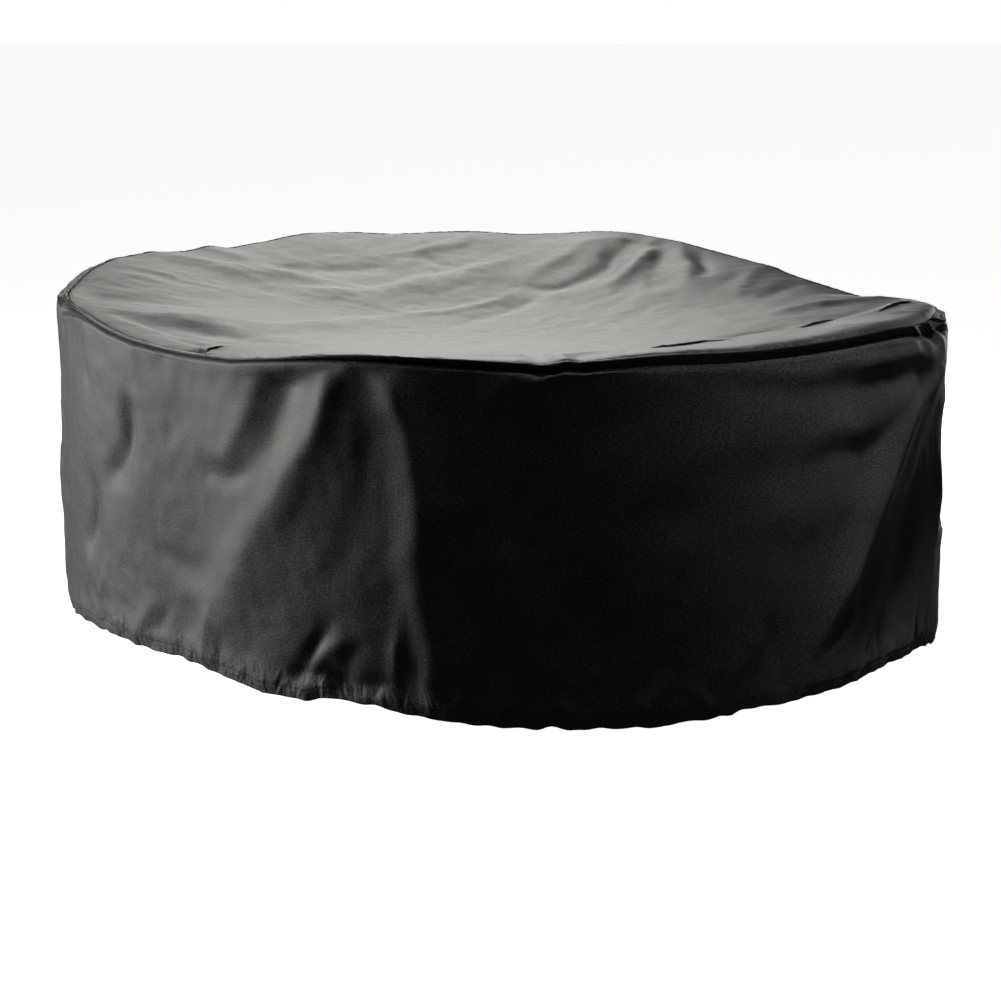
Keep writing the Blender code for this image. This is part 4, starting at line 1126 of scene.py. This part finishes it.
def pale_paint(name, colours):
    """Matt white studio paint, evenly lit from within so that the floor meets the white behind it."""
    material, tree = new_material(name)
    where = add_node(tree, "ShaderNodeTexCoord").outputs["Object"]
    mottle = add_node(tree, "ShaderNodeTexNoise", {"Vector": where, "Scale": 1.5, "Detail": 2.0})
    roughness = add_node(tree, "ShaderNodeMapRange", {
        "Value": mottle, "From Min": 0.3, "From Max": 0.7, "To Min": 0.85, "To Max": 0.95})
    add_shader(tree, {"Base Color": (*colours.floor, 1), "Roughness": roughness,
                      "Emission Color": (1, 1, 1, 1), "Emission Strength": 0.92})
    return material


# ---------------------------------------------------------------- operators

class MakeTop(bpy.types.Operator):
    """Make the round top with its folds and tucks."""
    bl_idname = "cover.make_top"
    bl_label = "Make Top"

    def execute(self, context):
        sizes, colours = context.scene.cover_sizes, context.scene.cover_colours
        top = make_top_mesh(sizes)
        thicken(top, sizes.cloth)
        top.data.materials.append(coated_oxford_cloth("coated_oxford_top", colours, TOP_GRAIN))
        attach(top, "root")
        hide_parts("top_panel")
        return {"FINISHED"}


class MakeSkirt(bpy.types.Operator):
    """Make the skirt with its folds and its turned, gathered hem, and the hem's stitches."""
    bl_idname = "cover.make_skirt"
    bl_label = "Make Skirt"

    def execute(self, context):
        sizes, colours = context.scene.cover_sizes, context.scene.cover_colours
        skirt = make_skirt_mesh(sizes)
        thicken(skirt, sizes.cloth)
        cloth = coated_oxford_cloth("coated_oxford_skirt", colours, GRAIN, gathered=True)
        skirt.data.materials.append(cloth)
        row = (HEM_DEPTH, HEM_THREAD_LIFT)
        stitches = sew("hem_stitches", [row], hem_line(sizes), sizes, HEM_PITCH)
        stitches.data.materials.append(bonded_thread("bonded_thread_hem", colours))
        for piece in (skirt, stitches):
            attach(piece, "root")
        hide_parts("skirt")
        return {"FINISHED"}


def hem_line(sizes):
    """The places of a line of stitches above the hem's edge."""
    def place(angles, above, lift):
        total = BAND_WIDTH + skirt_length(angles) - band_drop(angles)
        return skirt_place(angles, total - above, sizes, inside=-lift)
    return place


class MakeBand(bpy.types.Operator):
    """Make the band over the seam and the four rows of stitches that hold it."""
    bl_idname = "cover.make_band"
    bl_label = "Make Band"

    def execute(self, context):
        sizes, colours = context.scene.cover_sizes, context.scene.cover_colours
        band = make_band_mesh(sizes)
        band.data.materials.append(ribbed_tape("ribbed_tape", colours))
        groove = sizes.band - GROOVE_DEPTH + BAND_THREAD_LIFT
        rows = [(run, groove) for run in BAND_GROOVES]
        stitches = sew("band_stitches", rows, band_points, sizes, sizes.stitch_pitch)
        stitches.data.materials.append(bonded_thread("bonded_thread_band", colours))
        for piece in (band, stitches):
            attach(piece, "root")
        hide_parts("rim_binding")
        return {"FINISHED"}


class MakeStage(bpy.types.Operator):
    """Make the pale floor, the soft studio lights, the camera and the white surroundings."""
    bl_idname = "cover.make_stage"
    bl_label = "Make Stage"

    def execute(self, context):
        studio, colours = context.scene.cover_studio, context.scene.cover_colours
        bpy.ops.object.select_all(action="DESELECT")
        bpy.ops.mesh.primitive_plane_add(size=60, location=(0, 0, GROUND))
        floor = context.active_object
        floor.name = "floor"
        bpy.ops.object.transform_apply(location=True, rotation=True, scale=True)
        floor.data.materials.append(pale_paint("matt_white_paint", colours))
        floor.visible_diffuse = False
        floor.visible_glossy = False
        for lamp in LAMPS:
            add_light(lamp, getattr(studio, lamp.name))
        add_camera(studio)
        white_surroundings(context.scene)
        context.scene.view_settings.view_transform = "Standard"
        return {"FINISHED"}


def add_light(lamp, power):
    """One of the soft rectangular lamps."""
    data = bpy.data.lights.new(lamp.name, "AREA")
    data.shape = "RECTANGLE"
    data.size, data.size_y = lamp.size
    data.energy = power
    data.spread = math.radians(lamp.spread)
    data.color = linear(LAMP_COLOUR)
    light = bpy.data.objects.new(lamp.name, data)
    light.location = lamp.place
    facing = Vector(lamp.target) - Vector(lamp.place)
    light.rotation_euler = facing.to_track_quat("-Z", "Y").to_euler()
    light.visible_camera = False
    bpy.context.scene.collection.objects.link(light)


def add_camera(studio):
    """The camera, in front of the cover and a little above its rim."""
    data = bpy.data.cameras.new("camera")
    data.lens = studio.lens
    data.sensor_width = 36
    camera = bpy.data.objects.new("camera", data)
    camera.location = (CAMERA_SIDE, -studio.camera_distance, studio.camera_height)
    camera.rotation_euler = (math.pi / 2 - studio.camera_tilt, 0, 0)
    bpy.context.scene.collection.objects.link(camera)
    bpy.context.scene.camera = camera


def white_surroundings(scene):
    """White to look at, and a faint even light on the cover."""
    world = bpy.data.worlds.new("white_surroundings")
    world.use_nodes = True
    tree = world.node_tree
    tree.nodes.clear()
    seen = add_node(tree, "ShaderNodeLightPath").outputs["Is Camera Ray"]
    strength = add_node(tree, "ShaderNodeMapRange", {"Value": seen, "To Min": 0.035, "To Max": 1.0})
    background = add_node(tree, "ShaderNodeBackground", {"Color": (1, 1, 1, 1), "Strength": strength})
    add_node(tree, "ShaderNodeOutputWorld", {"Surface": background})
    scene.world = world


class CoverPanel(bpy.types.Panel):
    """The cover's sizes, colours and steps in the sidebar."""
    bl_idname = "VIEW3D_PT_furniture_cover"
    bl_label = "Furniture Cover"
    bl_space_type = "VIEW_3D"
    bl_region_type = "UI"
    bl_category = "Furniture Cover"

    def draw(self, context):
        for group in (context.scene.cover_sizes, context.scene.cover_colours, context.scene.cover_studio):
            column = self.layout.column(align=True)
            for name in group.__annotations__:
                column.prop(group, name)
        for step in STEPS:
            self.layout.operator(step.bl_idname)


STEPS = (MakeTop, MakeSkirt, MakeBand, MakeStage)
GROUPS = {"cover_sizes": CoverSizes, "cover_colours": CoverColours, "cover_studio": StudioSettings}


def register():
    """Register the classes and the settings that the scene holds."""
    for made in (*GROUPS.values(), *STEPS, CoverPanel):
        bpy.utils.register_class(made)
    for name, group in GROUPS.items():
        setattr(bpy.types.Scene, name, bpy.props.PointerProperty(type=group))


def unregister():
    """Remove what register added."""
    for name in GROUPS:
        delattr(bpy.types.Scene, name)
    for made in reversed((*GROUPS.values(), *STEPS, CoverPanel)):
        bpy.utils.unregister_class(made)


def main():
    register()
    bpy.ops.cover.make_top()
    bpy.ops.cover.make_skirt()
    bpy.ops.cover.make_band()
    bpy.ops.cover.make_stage()


if __name__ == "__main__":
    main()
